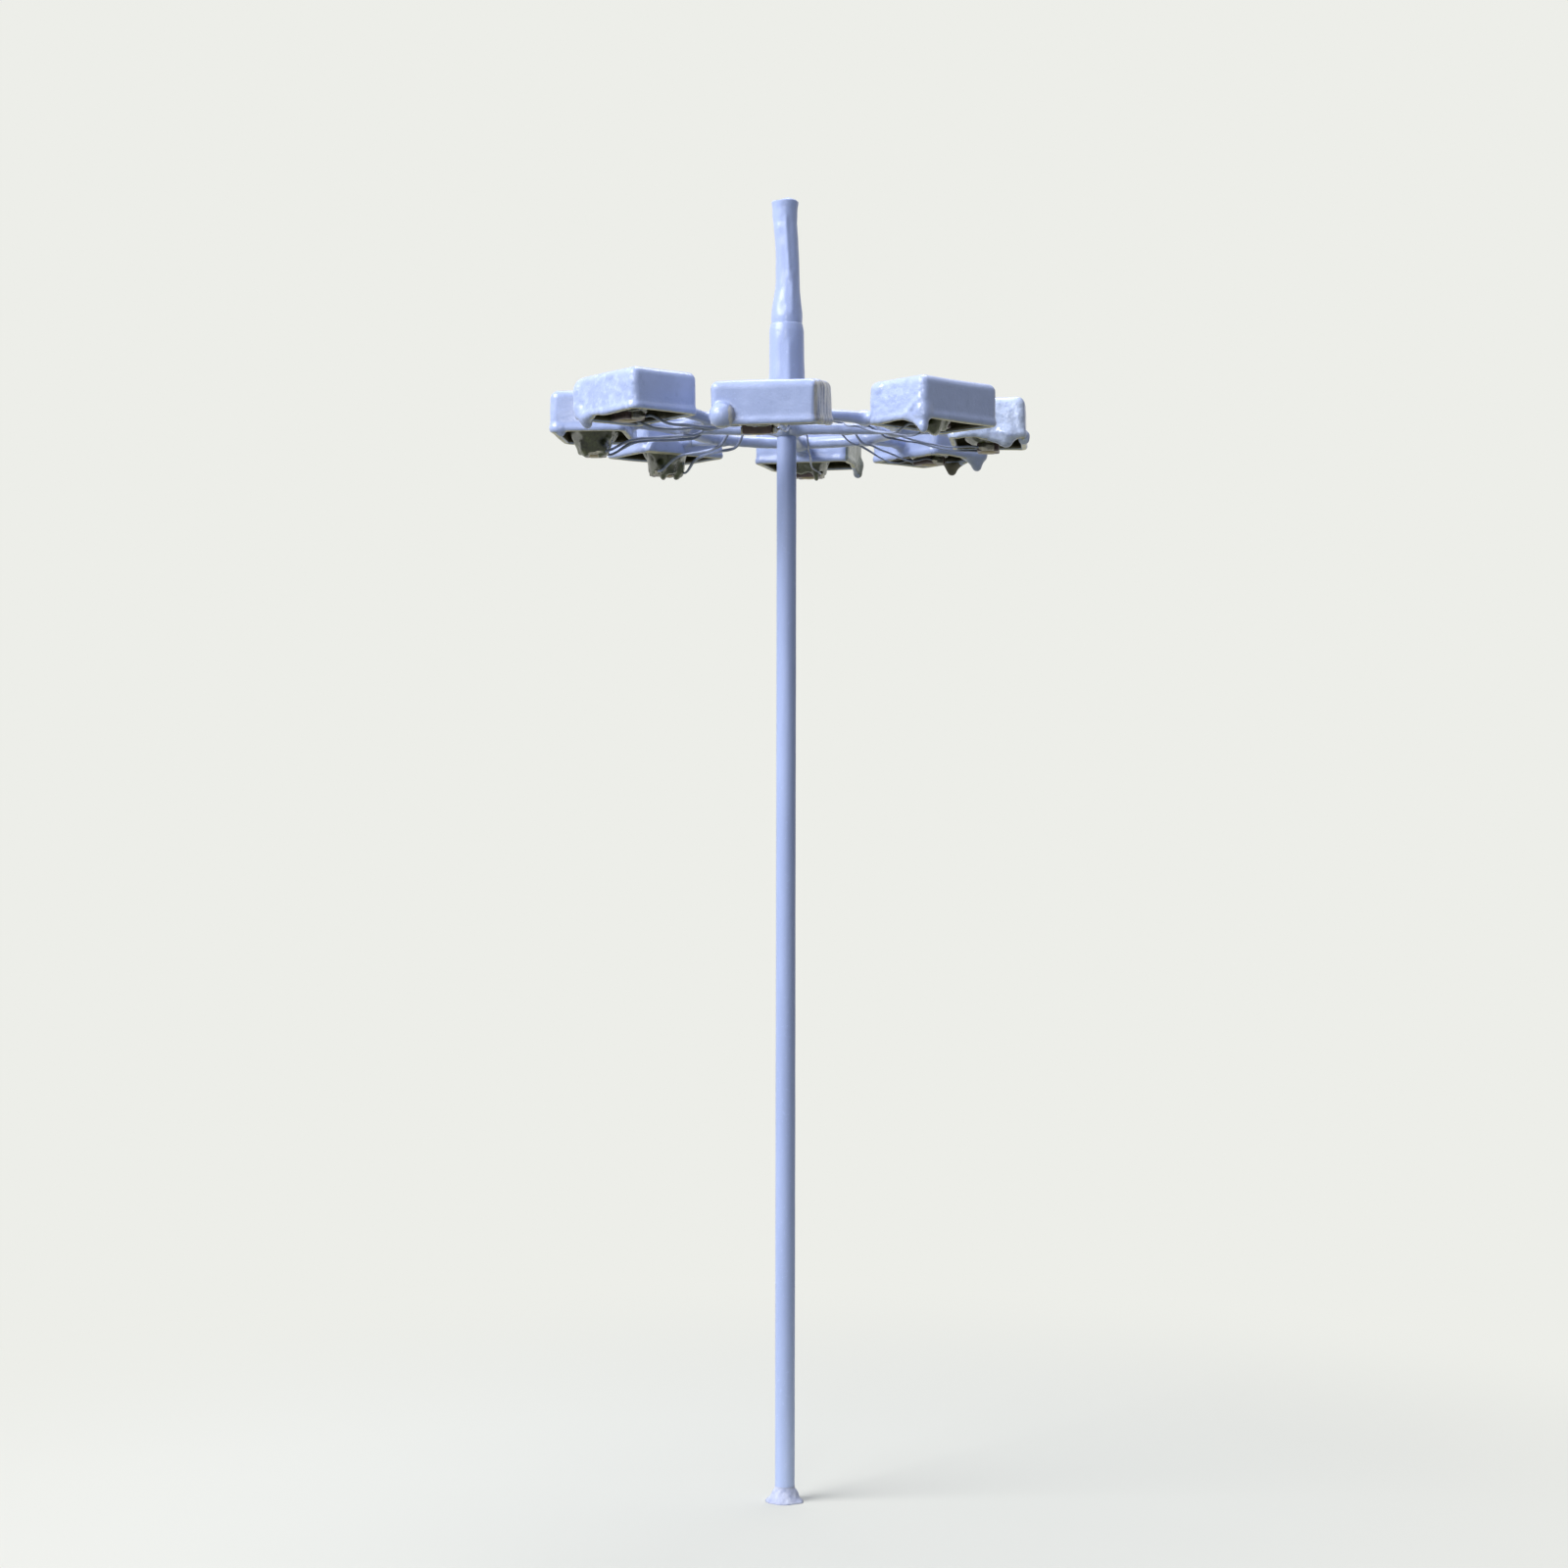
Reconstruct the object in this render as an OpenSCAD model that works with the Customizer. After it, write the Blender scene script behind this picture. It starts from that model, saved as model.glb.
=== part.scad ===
// High-mast yard light for a model railway: a painted brass tube that carries
// eight lamp heads on a soldered hoop, with a wiring cover and a finial on top.
// Millimetres, +Z up. The origin is on the mast's axis at ground level, and
// lamp head 1 faces the front (-Y). Head angles turn from -Y towards +X.

/* [Mast] */
// Outside diameter of the mast tube
mast_d = 2.5; // [2.2:0.05:2.7]
// Wall thickness of the mast tube
mast_wall = 0.4; // [0.3:0.05:0.5]
// Height of the mast tube above the ground
mast_h = 148; // [110:1:200]
// Length of the bare tube that plugs into the ground
spigot_l = 15; // [5:1:30]
// Diameter of the bare tube that plugs into the ground
spigot_d = 2.1; // [2:0.05:2.15]

/* [Foot collar] */
// Diameter of the collar where it rests on the ground
collar_d = 4.8; // [4:0.1:8]
// Height of the collar
collar_h = 1.8; // [1:0.1:4]
// Rim left round the mast at the collar's top
collar_lip = 0.3; // [0.2:0.05:0.5]

/* [Carrier hoop] */
// Distance from the mast's top down to the middle of the hoop's rod
hoop_drop = 11.45; // [10.5:0.05:16]
// Radius of the hoop to the middle of its rod
hoop_r = 13.5; // [12:0.1:16]
// How far the hoop sits off the mast's axis, towards +X
hoop_off = 0.5; // [0:0.1:1]
// Rod diameter of the hoop
hoop_rod_d = 1.5; // [1.2:0.1:2]
// Rod diameter of the spokes and of the head arms
arm_d = 1.4; // [1:0.05:1.8]
// How far the solder at a joint stands proud of the rod
fillet_proud = 0.3; // [0.15:0.05:0.5]
// Length along the rod of the solder at a joint
fillet_l = 1.2; // [0.8:0.1:2]

/* [Lamp heads] */
// Width of a lamp head, across its arm
head_w = 12.9; // [10:0.1:14]
// Depth of a lamp head, along its arm
head_d = 9.5; // [8:0.1:12]
// Height of a lamp head
head_h = 5.1; // [4:0.1:7]
// Wall thickness of a lamp head
head_wall = 0.5; // [0.3:0.05:0.8]
// Thickness of a lamp head's roof
head_roof = 0.6; // [0.4:0.05:1]
// Rounding of a lamp head's outer edges
head_edge = 0.65; // [0.3:0.05:1]
// Radius from the mast's axis to the middle of a lamp head
head_r = 25.3; // [24:0.1:30]
// How far a head's rim hangs below the middle of the hoop
rim_drop = 2.05; // [1.6:0.05:2.6]
// Height above the rim at which the arm meets the inner wall
arm_seat = 1.9; // [1.2:0.1:2.6]

/* [LEDs] */
// Width of the LED body, across the arm
led_w = 3.5; // [3:0.1:4]
// Depth of the LED body, along the arm
led_d = 2.8; // [2.4:0.1:3.5]
// Height of the LED body
led_h = 1.9; // [1.4:0.1:2.5]
// How far an LED hangs below the rim, before its own trim
led_hang = 1.2; // [0.9:0.1:1.5]
// Diameter of the phosphor window
window_d = 2.3; // [1.6:0.1:2.4]
// Depth of the phosphor window
window_depth = 0.3; // [0.2:0.05:0.6]
// Thickness of an LED contact
contact_t = 0.3; // [0.2:0.05:0.5]
// Width of an LED contact
contact_w = 1.6; // [1:0.1:2.2]
// Height of an LED contact
contact_h = 0.9; // [0.6:0.05:1.2]
// Diameter of the resin where it hangs from the roof
resin_root_d = 6.4; // [5:0.1:7.5]
// Diameter of the resin where it grips the LED
resin_tip_d = 4.4; // [3.5:0.1:5]
// Depth to which the resin grips the LED
resin_grip = 0.7; // [0.2:0.05:0.9]

/* [Top cover] */
// Outside diameter of the cover's upper part
sleeve_d = 4.4; // [4.2:0.05:5]
// Wall thickness of the cover
sleeve_wall = 0.3; // [0.2:0.05:0.4]
// Outside diameter of the cover's open lower end
skirt_d = 4.75; // [4.5:0.05:6]
// Length of the flared lower part
skirt_l = 4.5; // [3.5:0.1:5]
// Length of the whole cover
sleeve_l = 9.5; // [9:0.1:10.5]
// Length of the cover's rounded-off shoulder under the finial
shoulder_l = 0.9; // [0.4:0.1:1.4]
// How far the cover rises above the mast's top
sleeve_rise = 2; // [1.6:0.1:3]
// Height of the finial above the cover
finial_h = 15.7; // [12:0.1:25]
// Diameter of the finial at the cover
finial_foot_d = 4.05; // [3.6:0.05:4.2]
// Diameter of the finial at its waist
finial_waist_d = 3; // [2:0.1:3.4]
// Diameter of the finial at its top
finial_tip_d = 3.25; // [2.4:0.05:3.8]
// Length of the finial's neck, from its foot to its waist
neck_l = 6; // [4:0.5:8]
// Length of the finial's thicker tip
tip_l = 1.9; // [1:0.1:3]
// Length of the finial's plug inside the cover
plug_l = 1; // [0.6:0.1:1.1]

/* [Wiring] */
// Diameter of an LED lead wire
lead_d = 0.24; // [0.15:0.01:0.26]
// Length over which a lead wire bends
lead_bend = 1; // [0.8:0.05:1.2]
// Diameter of the feed wire inside the mast
feed_d = 0.4; // [0.2:0.05:0.45]
// Wall thickness of the insulating bush
bush_wall = 0.2; // [0.15:0.01:0.24]
// Length of the insulating bush
bush_l = 3; // [2.6:0.1:3.4]
// Distance from the mast's top down to the bush
bush_sink = 1.4; // [1:0.1:1.8]
// Thickness of the bush's flange
flange_t = 1; // [0.6:0.1:1.2]
// Height of the ring that feeds the leads
feed_ring_h = 0.8; // [0.5:0.1:1]
// Height of the solder ring that returns the leads to the mast
return_ring_h = 0.6; // [0.4:0.1:0.8]

/* [Hidden] */
$fn = 48;
// Clearance that keeps wires and rings off their neighbours
clear = 0.05;
// Overshoot of a cut past the face that it opens
cut = 1;

head_count = 8;
head_step = 360 / head_count;
heads = [1 : head_count];
spokes = [1 : head_count / 2];

// The heads are soldered on by eye, so each is a little off its nominal place.
// Turn of each head round the mast, its twist on its arm, and its tip outwards,
// in degrees
az_trim = [-4, -1, -2, -4, -7, -4.5, -1, -1.5];
yaw_trim = [-7, -2, -4, -3, -7.5, -4, -3, -6];
tip_trim = [7, 0, 0, 0, 0, 0, 0, 0];
// Distance of each head outside its nominal place, and height above it
r_trim = [0, 0.2, 0.4, 0, 0, -0.2, -0.7, 0];
z_trim = [-0.85, 0, 0.1, 0.15, 0.4, 0.7, 1, 1.1];
// How much further each LED hangs down, and its place across its head
hang_trim = [-0.1, -0.9, -0.1, -0.6, 0.4, 1.2, 1.2, -0.9];
side_trim = [-1.6, 0, 0, 0, 0, 0, 0, -1.6];

// Runs of paint at the rims: head, across, outward, up from the rim,
// radius at the root, radius at the tip, fall below the root
drips = [
    [1, -5.1, 4.45, 1, 1.65, 0, 0],
    [2, -5.9, 4.3, 0.4, 1.1, 0.3, 2.4],
    [3, -5.9, 2.6, 0.2, 1.3, 0.9, 0.5],
    [3, -4.2, 4.6, 0.3, 0.8, 0, 0],
    [4, -5.6, 4, 0.3, 0.8, 0.3, 1.7],
    [4, 0.5, 4.45, 0.3, 0.8, 0.4, 1.5],
    [5, -6, 4.2, 0.3, 0.7, 0.3, 0.9],
    [8, -5.2, 4.1, 0.4, 1, 0.5, 1.2]
];

paint_colour = "#9ea9d2";
brass_colour = "#b9a05a";
solder_colour = "#b4b8c4";
led_colour = "#efe8d6";
window_colour = "#f2b531";
contact_colour = "#c9c9c6";
resin_colour = "#cfd6c6";
copper_colour = "#b5733f";
bush_colour = "#e9e4d0";

hoop_z = mast_h - hoop_drop;
skirt_z = mast_h + sleeve_rise - sleeve_l;
sleeve_top_z = mast_h + sleeve_rise;
sleeve_bore_d = sleeve_d - 2 * sleeve_wall;
mast_bore_d = mast_d - 2 * mast_wall;
wall_inner = -head_d / 2;

bush_top_z = mast_h - bush_sink;
flange_z = bush_top_z - flange_t;
bush_z = bush_top_z - bush_l;
bush_d = mast_d + 2 * bush_wall;
feed_ring_d = sleeve_bore_d - 2 * clear;
feed_ring_z = flange_z - feed_ring_h;
return_ring_d = mast_d + 2 * lead_d;
return_ring_top_z = bush_z - bush_wall;
return_ring_z = return_ring_top_z - return_ring_h;
feed_lead_r = (bush_d + feed_ring_d) / 4 + clear;
return_lead_r = mast_d / 2 + lead_d / 2 + clear / 2;
feed_wire_r = (mast_d + sleeve_bore_d) / 4;

function az(i) = (i - 1) * head_step + az_trim[i - 1];
function reach(i) = head_r + r_trim[i - 1];
// Distance from the mast's axis to the hoop along head i's arm
function hoop_reach(i) =
    hoop_off * sin(az(i)) + sqrt(pow(hoop_r, 2) - pow(hoop_off * cos(az(i)), 2));
function rim_z(i) = hoop_z - rim_drop + z_trim[i - 1];
function spin(p, a) = [p[0] * cos(a) - p[1] * sin(a), p[0] * sin(a) + p[1] * cos(a), p[2]];
function tip(p, a) = [p[0], p[1] * cos(a) - p[2] * sin(a), p[1] * sin(a) + p[2] * cos(a)];
// A point beside head i's arm, at a radius and height measured from the mast
function arm_point(i, side, r, z) = spin([side, -r, z], az(i));
// A point in head i's own frame: across, outward, and up from its rim
function head_point(i, across, out, up) =
    let (tipped = tip([across, -out, up], tip_trim[i - 1]))
    spin([0, -reach(i), rim_z(i)] + spin(tipped, yaw_trim[i - 1]), az(i));

// How far head i's LED hangs below its rim
function hang(i) = led_hang + hang_trim[i - 1];

// A tube with eight sides along a list of points
tube_sides = 8;
function unit(v) = v / norm(v);
function tangent(p, k) =
    k == 0 ? unit(p[1] - p[0])
    : k == len(p) - 1 ? unit(p[k] - p[k - 1])
    : unit(unit(p[k + 1] - p[k]) + unit(p[k] - p[k - 1]));
function side(p, k) =
    let (t = tangent(p, k))
    k == 0 ? unit(cross(t, [t[2], t[0] + 1, t[1]]))
    : let (s = side(p, k - 1)) unit(s - (s * t) * t);
function ring_points(p, k, r) =
    let (s = side(p, k), c = cross(tangent(p, k), s), turn = 360 / tube_sides)
    [for (n = [0 : tube_sides - 1]) p[k] + r * (cos(n * turn) * s + sin(n * turn) * c)];

module tube_along(p, d) {
    last = len(p) - 1;
    points = [for (k = [0 : last]) each ring_points(p, k, d / 2)];
    walls = [for (k = [0 : last - 1], n = [0 : tube_sides - 1])
        let (a = k * tube_sides + n, b = k * tube_sides + (n + 1) % tube_sides)
        each [[a, b + tube_sides, b], [a, a + tube_sides, b + tube_sides]]];
    start_cap = [[for (n = [0 : tube_sides - 1]) n]];
    end_cap = [[for (n = [tube_sides - 1 : -1 : 0]) last * tube_sides + n]];
    polyhedron(points, concat(walls, start_cap, end_cap));
}

// Turns an outline of radius and distance into a round bar that runs from a
// point along a direction
module bar_along(from, run, outline) {
    translate(from)
        rotate([0, acos(run[2]), atan2(run[1], run[0])])
            rotate_extrude()
                polygon(outline);
}

module rounded_rect(w, d, r) {
    square([w, d - 2 * r], center = true);
    square([w - 2 * r, d], center = true);
    for (x = [-1, 1], y = [-1, 1])
        translate([x * (w / 2 - r), y * (d / 2 - r)])
            circle(r);
}

// Outline of a head seen level: square at the rim and round at the roof
module head_outline(w) {
    translate([-w / 2, 0])
        square([w, head_h - head_edge]);
    translate([-w / 2 + head_edge, 0])
        square([w - 2 * head_edge, head_h]);
    for (x = [-1, 1])
        translate([x * (w / 2 - head_edge), head_h - head_edge])
            circle(head_edge);
}

module at_head(i) {
    rotate(az(i))
        translate([0, -reach(i), rim_z(i)])
            rotate(yaw_trim[i - 1])
                rotate([tip_trim[i - 1], 0, 0])
                    children();
}

// The outside of a head as one solid block
module head_block() {
    intersection() {
        linear_extrude(head_h)
            rounded_rect(head_w, head_d, head_edge);
        rotate([90, 0, 0])
            linear_extrude(head_d, center = true)
                head_outline(head_w);
        rotate([90, 0, 90])
            linear_extrude(head_w, center = true)
                head_outline(head_d);
    }
}

module head_cavity() {
    translate([0, 0, -cut])
        linear_extrude(head_h - head_roof + cut)
            rounded_rect(head_w - 2 * head_wall, head_d - 2 * head_wall, head_edge / 2);
}

// A run of paint: a round root that tapers to a round tip below it
module paint_drip(root_r, tip_r, fall) {
    sphere(root_r);
    if (fall > 0)
        translate([0, 0, -fall]) {
            cylinder(r1 = tip_r, r2 = root_r, h = fall);
            sphere(tip_r);
        }
}

module hoop_torus() {
    translate([hoop_off, 0, hoop_z])
        rotate_extrude()
            translate([hoop_r, 0])
                circle(d = hoop_rod_d);
}

module mast_bar() {
    cylinder(d = mast_d, h = mast_h);
    translate([0, 0, -spigot_l])
        cylinder(d = spigot_d, h = spigot_l);
}

// Where the middle of head i's arm leaves the hoop, and where it meets the
// head's inner wall
function arm_start(i) = arm_point(i, 0, hoop_reach(i), hoop_z);
function arm_end(i) =
    let (seat_z = rim_z(i) + arm_seat - wall_inner * sin(tip_trim[i - 1]))
    arm_point(i, 0, reach(i) + wall_inner / cos(yaw_trim[i - 1]), seat_z);

arm_half = arm_d / 2;
fillet_r = arm_half + fillet_proud;

// A spoke starts on the mast's axis and thickens at the mast and at the hoop
module spoke_rod(j) {
    i = 2 * j - 1;
    from_mast = mast_d / 2;
    to_hoop = hoop_reach(i);
    bar_along([0, 0, hoop_z], unit(arm_point(i, 0, to_hoop, 0)), [
        [0, 0],
        [fillet_r, 0],
        [fillet_r, from_mast],
        [arm_half, from_mast + fillet_l],
        [arm_half, to_hoop - fillet_l],
        [fillet_r, to_hoop],
        [0, to_hoop]
    ]);
}

// An arm starts inside the hoop's rod, clear of the spoke that may end there,
// and thickens at the hoop and at the head
module arm_rod(i) {
    length = norm(arm_end(i) - arm_start(i));
    root = hoop_rod_d / 4;
    bar_along(arm_start(i), unit(arm_end(i) - arm_start(i)), [
        [0, root],
        [fillet_r, root],
        [arm_half, fillet_l],
        [arm_half, length - fillet_l],
        [fillet_r, length],
        [fillet_r, length + head_wall],
        [0, length + head_wall]
    ]);
}

module mast_tube() {
    color(brass_colour)
        difference() {
            mast_bar();
            translate([0, 0, -spigot_l - cut])
                cylinder(d = mast_bore_d, h = spigot_l + mast_h + 2 * cut);
        }
}

module foot_collar() {
    color(paint_colour)
        difference() {
            cylinder(d1 = collar_d, d2 = mast_d + 2 * collar_lip, h = collar_h);
            translate([0, 0, -cut])
                cylinder(d = mast_d, h = collar_h + 2 * cut);
        }
}

module carrier_hoop() {
    color(paint_colour)
        hoop_torus();
}

module spoke(j) {
    color(paint_colour)
        difference() {
            spoke_rod(j);
            mast_bar();
            hoop_torus();
        }
}

module head_arm(i) {
    color(paint_colour)
        difference() {
            arm_rod(i);
            hoop_torus();
            at_head(i) head_block();
        }
}

module lamp_housing(i) {
    color(paint_colour)
        at_head(i) {
            difference() {
                head_block();
                head_cavity();
            }
            for (d = drips)
                if (d[0] == i)
                    translate([d[1], -d[2], d[3]])
                        paint_drip(d[4], d[5], d[6]);
        }
}

// Head i's frame, moved to the underside of its LED
module at_led(i) {
    at_head(i)
        translate([side_trim[i - 1], 0, -hang(i)])
            children();
}

module led_block() {
    translate([-led_w / 2, -led_d / 2, 0])
        cube([led_w, led_d, led_h]);
}

module window_disc() {
    cylinder(d = window_d, h = window_depth);
}

module led_body(i) {
    color(led_colour)
        at_led(i)
            difference() {
                led_block();
                window_disc();
            }
}

module led_windows() {
    color(window_colour)
        for (i = heads)
            at_led(i) window_disc();
}

module led_contacts() {
    color(contact_colour)
        for (i = heads, x = [-1, 1])
            at_led(i)
                translate([x * (led_w + contact_t) / 2, 0, contact_h / 2])
                    cube([contact_t, contact_w, contact_h], center = true);
}

// The resin runs down from the roof and grips the LED's back
module led_resin(i) {
    grip_z = led_h - resin_grip;
    roof_z = hang(i) + head_h - head_roof;
    color(resin_colour)
        at_led(i)
            difference() {
                translate([0, 0, grip_z])
                    cylinder(d1 = resin_tip_d, d2 = resin_root_d, h = roof_z - grip_z);
                led_block();
            }
}

// A lead drops out of the cover, runs down beside its arm, ducks under the
// hoop and the head's rim, and ends on the LED's contact.
function lead_route(i, x) =
    let (
        fan = 360 / head_count / 4,
        seat_r = x > 0 ? feed_lead_r : return_lead_r,
        seat_z = x > 0 ? feed_ring_z : return_ring_z,
        seat_side = x * seat_r * sin(fan),
        seat_out = seat_r * cos(fan),
        past_skirt = seat_side + 0.15 * x * lead_bend,
        beside = x * (arm_d / 2 + 2 * lead_d),
        to_hoop = hoop_reach(i),
        hoop_half = hoop_rod_d / 2,
        under_hoop = hoop_z - hoop_half - lead_d,
        contact_x = side_trim[i - 1] + x * (led_w + contact_t) / 2,
        contact_up = contact_h / 2 - hang(i),
        near_contact = -contact_w / 2
    )
    [
        arm_point(i, seat_side, seat_out, seat_z),
        arm_point(i, seat_side, seat_out, skirt_z),
        arm_point(i, past_skirt, skirt_d / 2 + 0.4 * lead_bend, skirt_z - 0.9 * lead_bend),
        arm_point(i, 0.6 * beside, 0.4 * to_hoop, hoop_z + 0.5 * (skirt_z - hoop_z)),
        arm_point(i, 0.9 * beside, 0.7 * to_hoop, hoop_z + hoop_half + 2 * lead_d),
        arm_point(i, beside, to_hoop - hoop_half - lead_bend, under_hoop + 0.4 * lead_bend),
        arm_point(i, beside, to_hoop, under_hoop),
        arm_point(i, beside, to_hoop + hoop_half + 1.2 * lead_bend, (under_hoop + rim_z(i) - lead_d) / 2),
        head_point(i, 0.8 * contact_x, wall_inner - 0.4 * lead_bend, -2 * lead_d),
        head_point(i, contact_x, near_contact - 1.5 * lead_bend, contact_up + 0.1 * lead_bend),
        head_point(i, contact_x, near_contact - 0.6 * lead_bend, contact_up),
        head_point(i, contact_x, near_contact, contact_up)
    ];

module lead_pair(i) {
    color(copper_colour)
        for (x = [-1, 1])
            tube_along(lead_route(i, x), lead_d);
}

// Half the cover's wall in section: a flared skirt, a straight part and a
// shoulder that thins to half the wall under the finial
module wiring_cover() {
    half = sleeve_d / 2;
    skirt_half = skirt_d / 2;
    color(paint_colour)
        translate([0, 0, skirt_z])
            rotate_extrude()
                polygon([
                    [skirt_half - sleeve_wall, 0],
                    [skirt_half, 0],
                    [half, skirt_l],
                    [half, sleeve_l - shoulder_l],
                    [half - sleeve_wall / 2, sleeve_l],
                    [half - sleeve_wall, sleeve_l],
                    [half - sleeve_wall, skirt_l]
                ]);
}

// Half the finial's outline: a plug, a neck that eases into the waist, and a
// thicker tip with a round top
finial_steps = 12;
finial_round = finial_tip_d / 6;
finial_outline = concat(
    [[0, -plug_l], [sleeve_bore_d / 2, -plug_l], [sleeve_bore_d / 2, 0]],
    [for (k = [0 : finial_steps])
        let (ease = (1 + cos(180 * k / finial_steps)) / 2)
        [(finial_waist_d + (finial_foot_d - finial_waist_d) * ease) / 2, neck_l * k / finial_steps]],
    [[finial_waist_d / 2, finial_h - 1.5 * tip_l]],
    [[finial_tip_d / 2, finial_h - tip_l]],
    [for (k = [0 : finial_steps])
        let (a = 90 * k / finial_steps)
        [finial_tip_d / 2 - finial_round * (1 - cos(a)), finial_h - finial_round * (1 - sin(a))]],
    [[0, finial_h]]
);

module finial() {
    color(paint_colour)
        translate([0, 0, sleeve_top_z])
            rotate_extrude()
                polygon(finial_outline);
}

module insulating_bush() {
    color(bush_colour)
        difference() {
            union() {
                translate([0, 0, bush_z])
                    cylinder(d = bush_d, h = bush_l);
                translate([0, 0, flange_z])
                    cylinder(d = sleeve_bore_d, h = flange_t);
            }
            translate([0, 0, bush_z - cut])
                cylinder(d = mast_d, h = bush_l + 2 * cut);
            translate([feed_wire_r, 0, flange_z - cut])
                cylinder(d = feed_d + 2 * clear, h = flange_t + 2 * cut);
        }
}

module feed_ring() {
    color(copper_colour)
        translate([0, 0, feed_ring_z])
            difference() {
                cylinder(d = feed_ring_d, h = feed_ring_h);
                translate([0, 0, -cut])
                    cylinder(d = bush_d, h = feed_ring_h + 2 * cut);
            }
}

module return_ring() {
    color(solder_colour)
        translate([0, 0, return_ring_z])
            difference() {
                cylinder(d = return_ring_d, h = return_ring_h);
                translate([0, 0, -cut])
                    cylinder(d = mast_d, h = return_ring_h + 2 * cut);
            }
}

// The feed wire rises from its ring, turns over the tube's lip and runs down
// the bore to the foot.
feed_over = 1.25 * feed_d;
feed_route = [
    [feed_wire_r, 0, flange_z],
    [feed_wire_r, 0, mast_h - feed_d / 2],
    [mast_d / 2 + feed_d / 3, 0, mast_h + feed_over - feed_d / 4],
    [mast_d / 2 - mast_wall / 2, 0, mast_h + feed_over],
    [mast_bore_d / 4, 0, mast_h + feed_over - feed_d / 2],
    [feed_d / 4, 0, mast_h - 1.5 * feed_d],
    [0, 0, mast_h - 5 * feed_d],
    [0, 0, mast_h / 2],
    [0, 0, -spigot_l]
];

module feed_wire() {
    color(copper_colour)
        tube_along(feed_route, feed_d);
}

mast_tube();
foot_collar();
carrier_hoop();
for (j = spokes)
    spoke(j);
for (i = heads) {
    head_arm(i);
    lamp_housing(i);
    led_body(i);
    led_resin(i);
    lead_pair(i);
}
led_windows();
led_contacts();
wiring_cover();
finial();
insulating_bush();
feed_ring();
return_ring();
feed_wire();
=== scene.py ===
"""Looks for a model high-mast yard light: thick gloss paint over soldered brass.

The CAD frame gives the places and the main sizes. Painted pieces are grown as
distance fields, so that the paint rounds the edges, fills the joints and runs
into drips, and each field is then skinned as a mesh. Lengths are in
millimetres until a mesh is made.
"""

import itertools
import math

import bpy
import numpy as np
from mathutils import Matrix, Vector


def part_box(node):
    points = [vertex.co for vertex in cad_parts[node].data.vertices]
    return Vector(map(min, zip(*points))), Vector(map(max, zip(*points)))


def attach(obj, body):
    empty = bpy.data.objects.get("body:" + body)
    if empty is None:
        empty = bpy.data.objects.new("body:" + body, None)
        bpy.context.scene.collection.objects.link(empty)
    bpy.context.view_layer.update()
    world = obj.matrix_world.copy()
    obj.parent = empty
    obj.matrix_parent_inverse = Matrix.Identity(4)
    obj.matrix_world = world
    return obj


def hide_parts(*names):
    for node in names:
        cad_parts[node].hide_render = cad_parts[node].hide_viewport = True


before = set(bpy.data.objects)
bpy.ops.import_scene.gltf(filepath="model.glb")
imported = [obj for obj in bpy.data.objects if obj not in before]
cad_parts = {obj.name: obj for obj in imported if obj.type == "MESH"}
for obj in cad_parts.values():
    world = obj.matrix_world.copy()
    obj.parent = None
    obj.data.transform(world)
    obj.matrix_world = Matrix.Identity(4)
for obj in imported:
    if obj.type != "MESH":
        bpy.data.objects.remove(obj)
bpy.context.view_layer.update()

MM = 0.001
BODY = "root"
HEADS = range(1, 9)

# Lamp heads: outside width across the arm, depth along it, and height, then the
# walls, the roof, the rounding of the edges, and the bead of paint on the rim
HEAD_W, HEAD_D, HEAD_H = 12.9, 9.5, 5.1
HEAD_WALL = 0.5
HEAD_ROOF = 0.6
HEAD_ROUND = 0.95
RIM_BEAD = 0.4
RIM_CORNER = 0.6

# Arms: height of the seat above the rim, radius of the rod, and radius of the
# solder that thickens its ends
ARM_SEAT = 1.9
ARM_R = 0.72
SOLDER_R = 1.15
SPOKE_HEADS = (1, 3, 5, 7)

# Camera: fitted to the photograph, with the mast's axis a little off the middle.
# The clipping distances are in metres.
CAMERA_PLACE = (-0.255, -350, 88.25)
CAMERA_LENS, CAMERA_SENSOR = 63, 36
CAMERA_PITCH = 0.49
CAMERA_ROLL = -0.1
CAMERA_CLIP = (0.01, 20)

# Grid steps of the distance fields
HEAD_STEP = 0.18
ROD_STEP = 0.16
LED_STEP = 0.12

# Seeds of the noise on numbered pieces, to which each piece's own number is added
SEED_RIPPLE, SEED_SAG = 10, 30
SEED_FOLD, SEED_FINE_FOLD = 50, 150
SEED_RESIN, SEED_RESIN_GRAIN = 200, 220
SEED_SWELL, SEED_WOBBLE = 300, 400


def smooth_step(low, high, value):
    t = np.clip((value - low) / (high - low), 0, 1)
    return t * t * (3 - 2 * t)


def smooth_min(a, b, blend):
    h = np.clip(0.5 + 0.5 * (b - a) / blend, 0, 1)
    return b + (a - b) * h - blend * h * (1 - h)


def smooth_max(a, b, blend):
    return -smooth_min(-a, -b, blend)


def lattice_noise(p, size, seed):
    """Smooth noise from -1 to 1, with features of about the given size."""
    cells = 32
    table = np.random.default_rng(seed).uniform(-1, 1, (cells,) * 3)
    q = p / np.asarray(size)
    cell = np.floor(q).astype(int)
    t = q - cell
    t = t * t * (3 - 2 * t)
    total = np.zeros(q.shape[:-1])
    for corner in itertools.product((0, 1), repeat=3):
        index = (cell + corner) % cells
        weight = np.prod(np.where(corner, t, 1 - t), axis=-1)
        total += weight * table[index[..., 0], index[..., 1], index[..., 2]]
    return total


def uneven(p, *layers):
    """Noise in layers, each given as its height, the size of its features and its seed."""
    return sum(height * lattice_noise(p, size, seed) for height, size, seed in layers)


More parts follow.
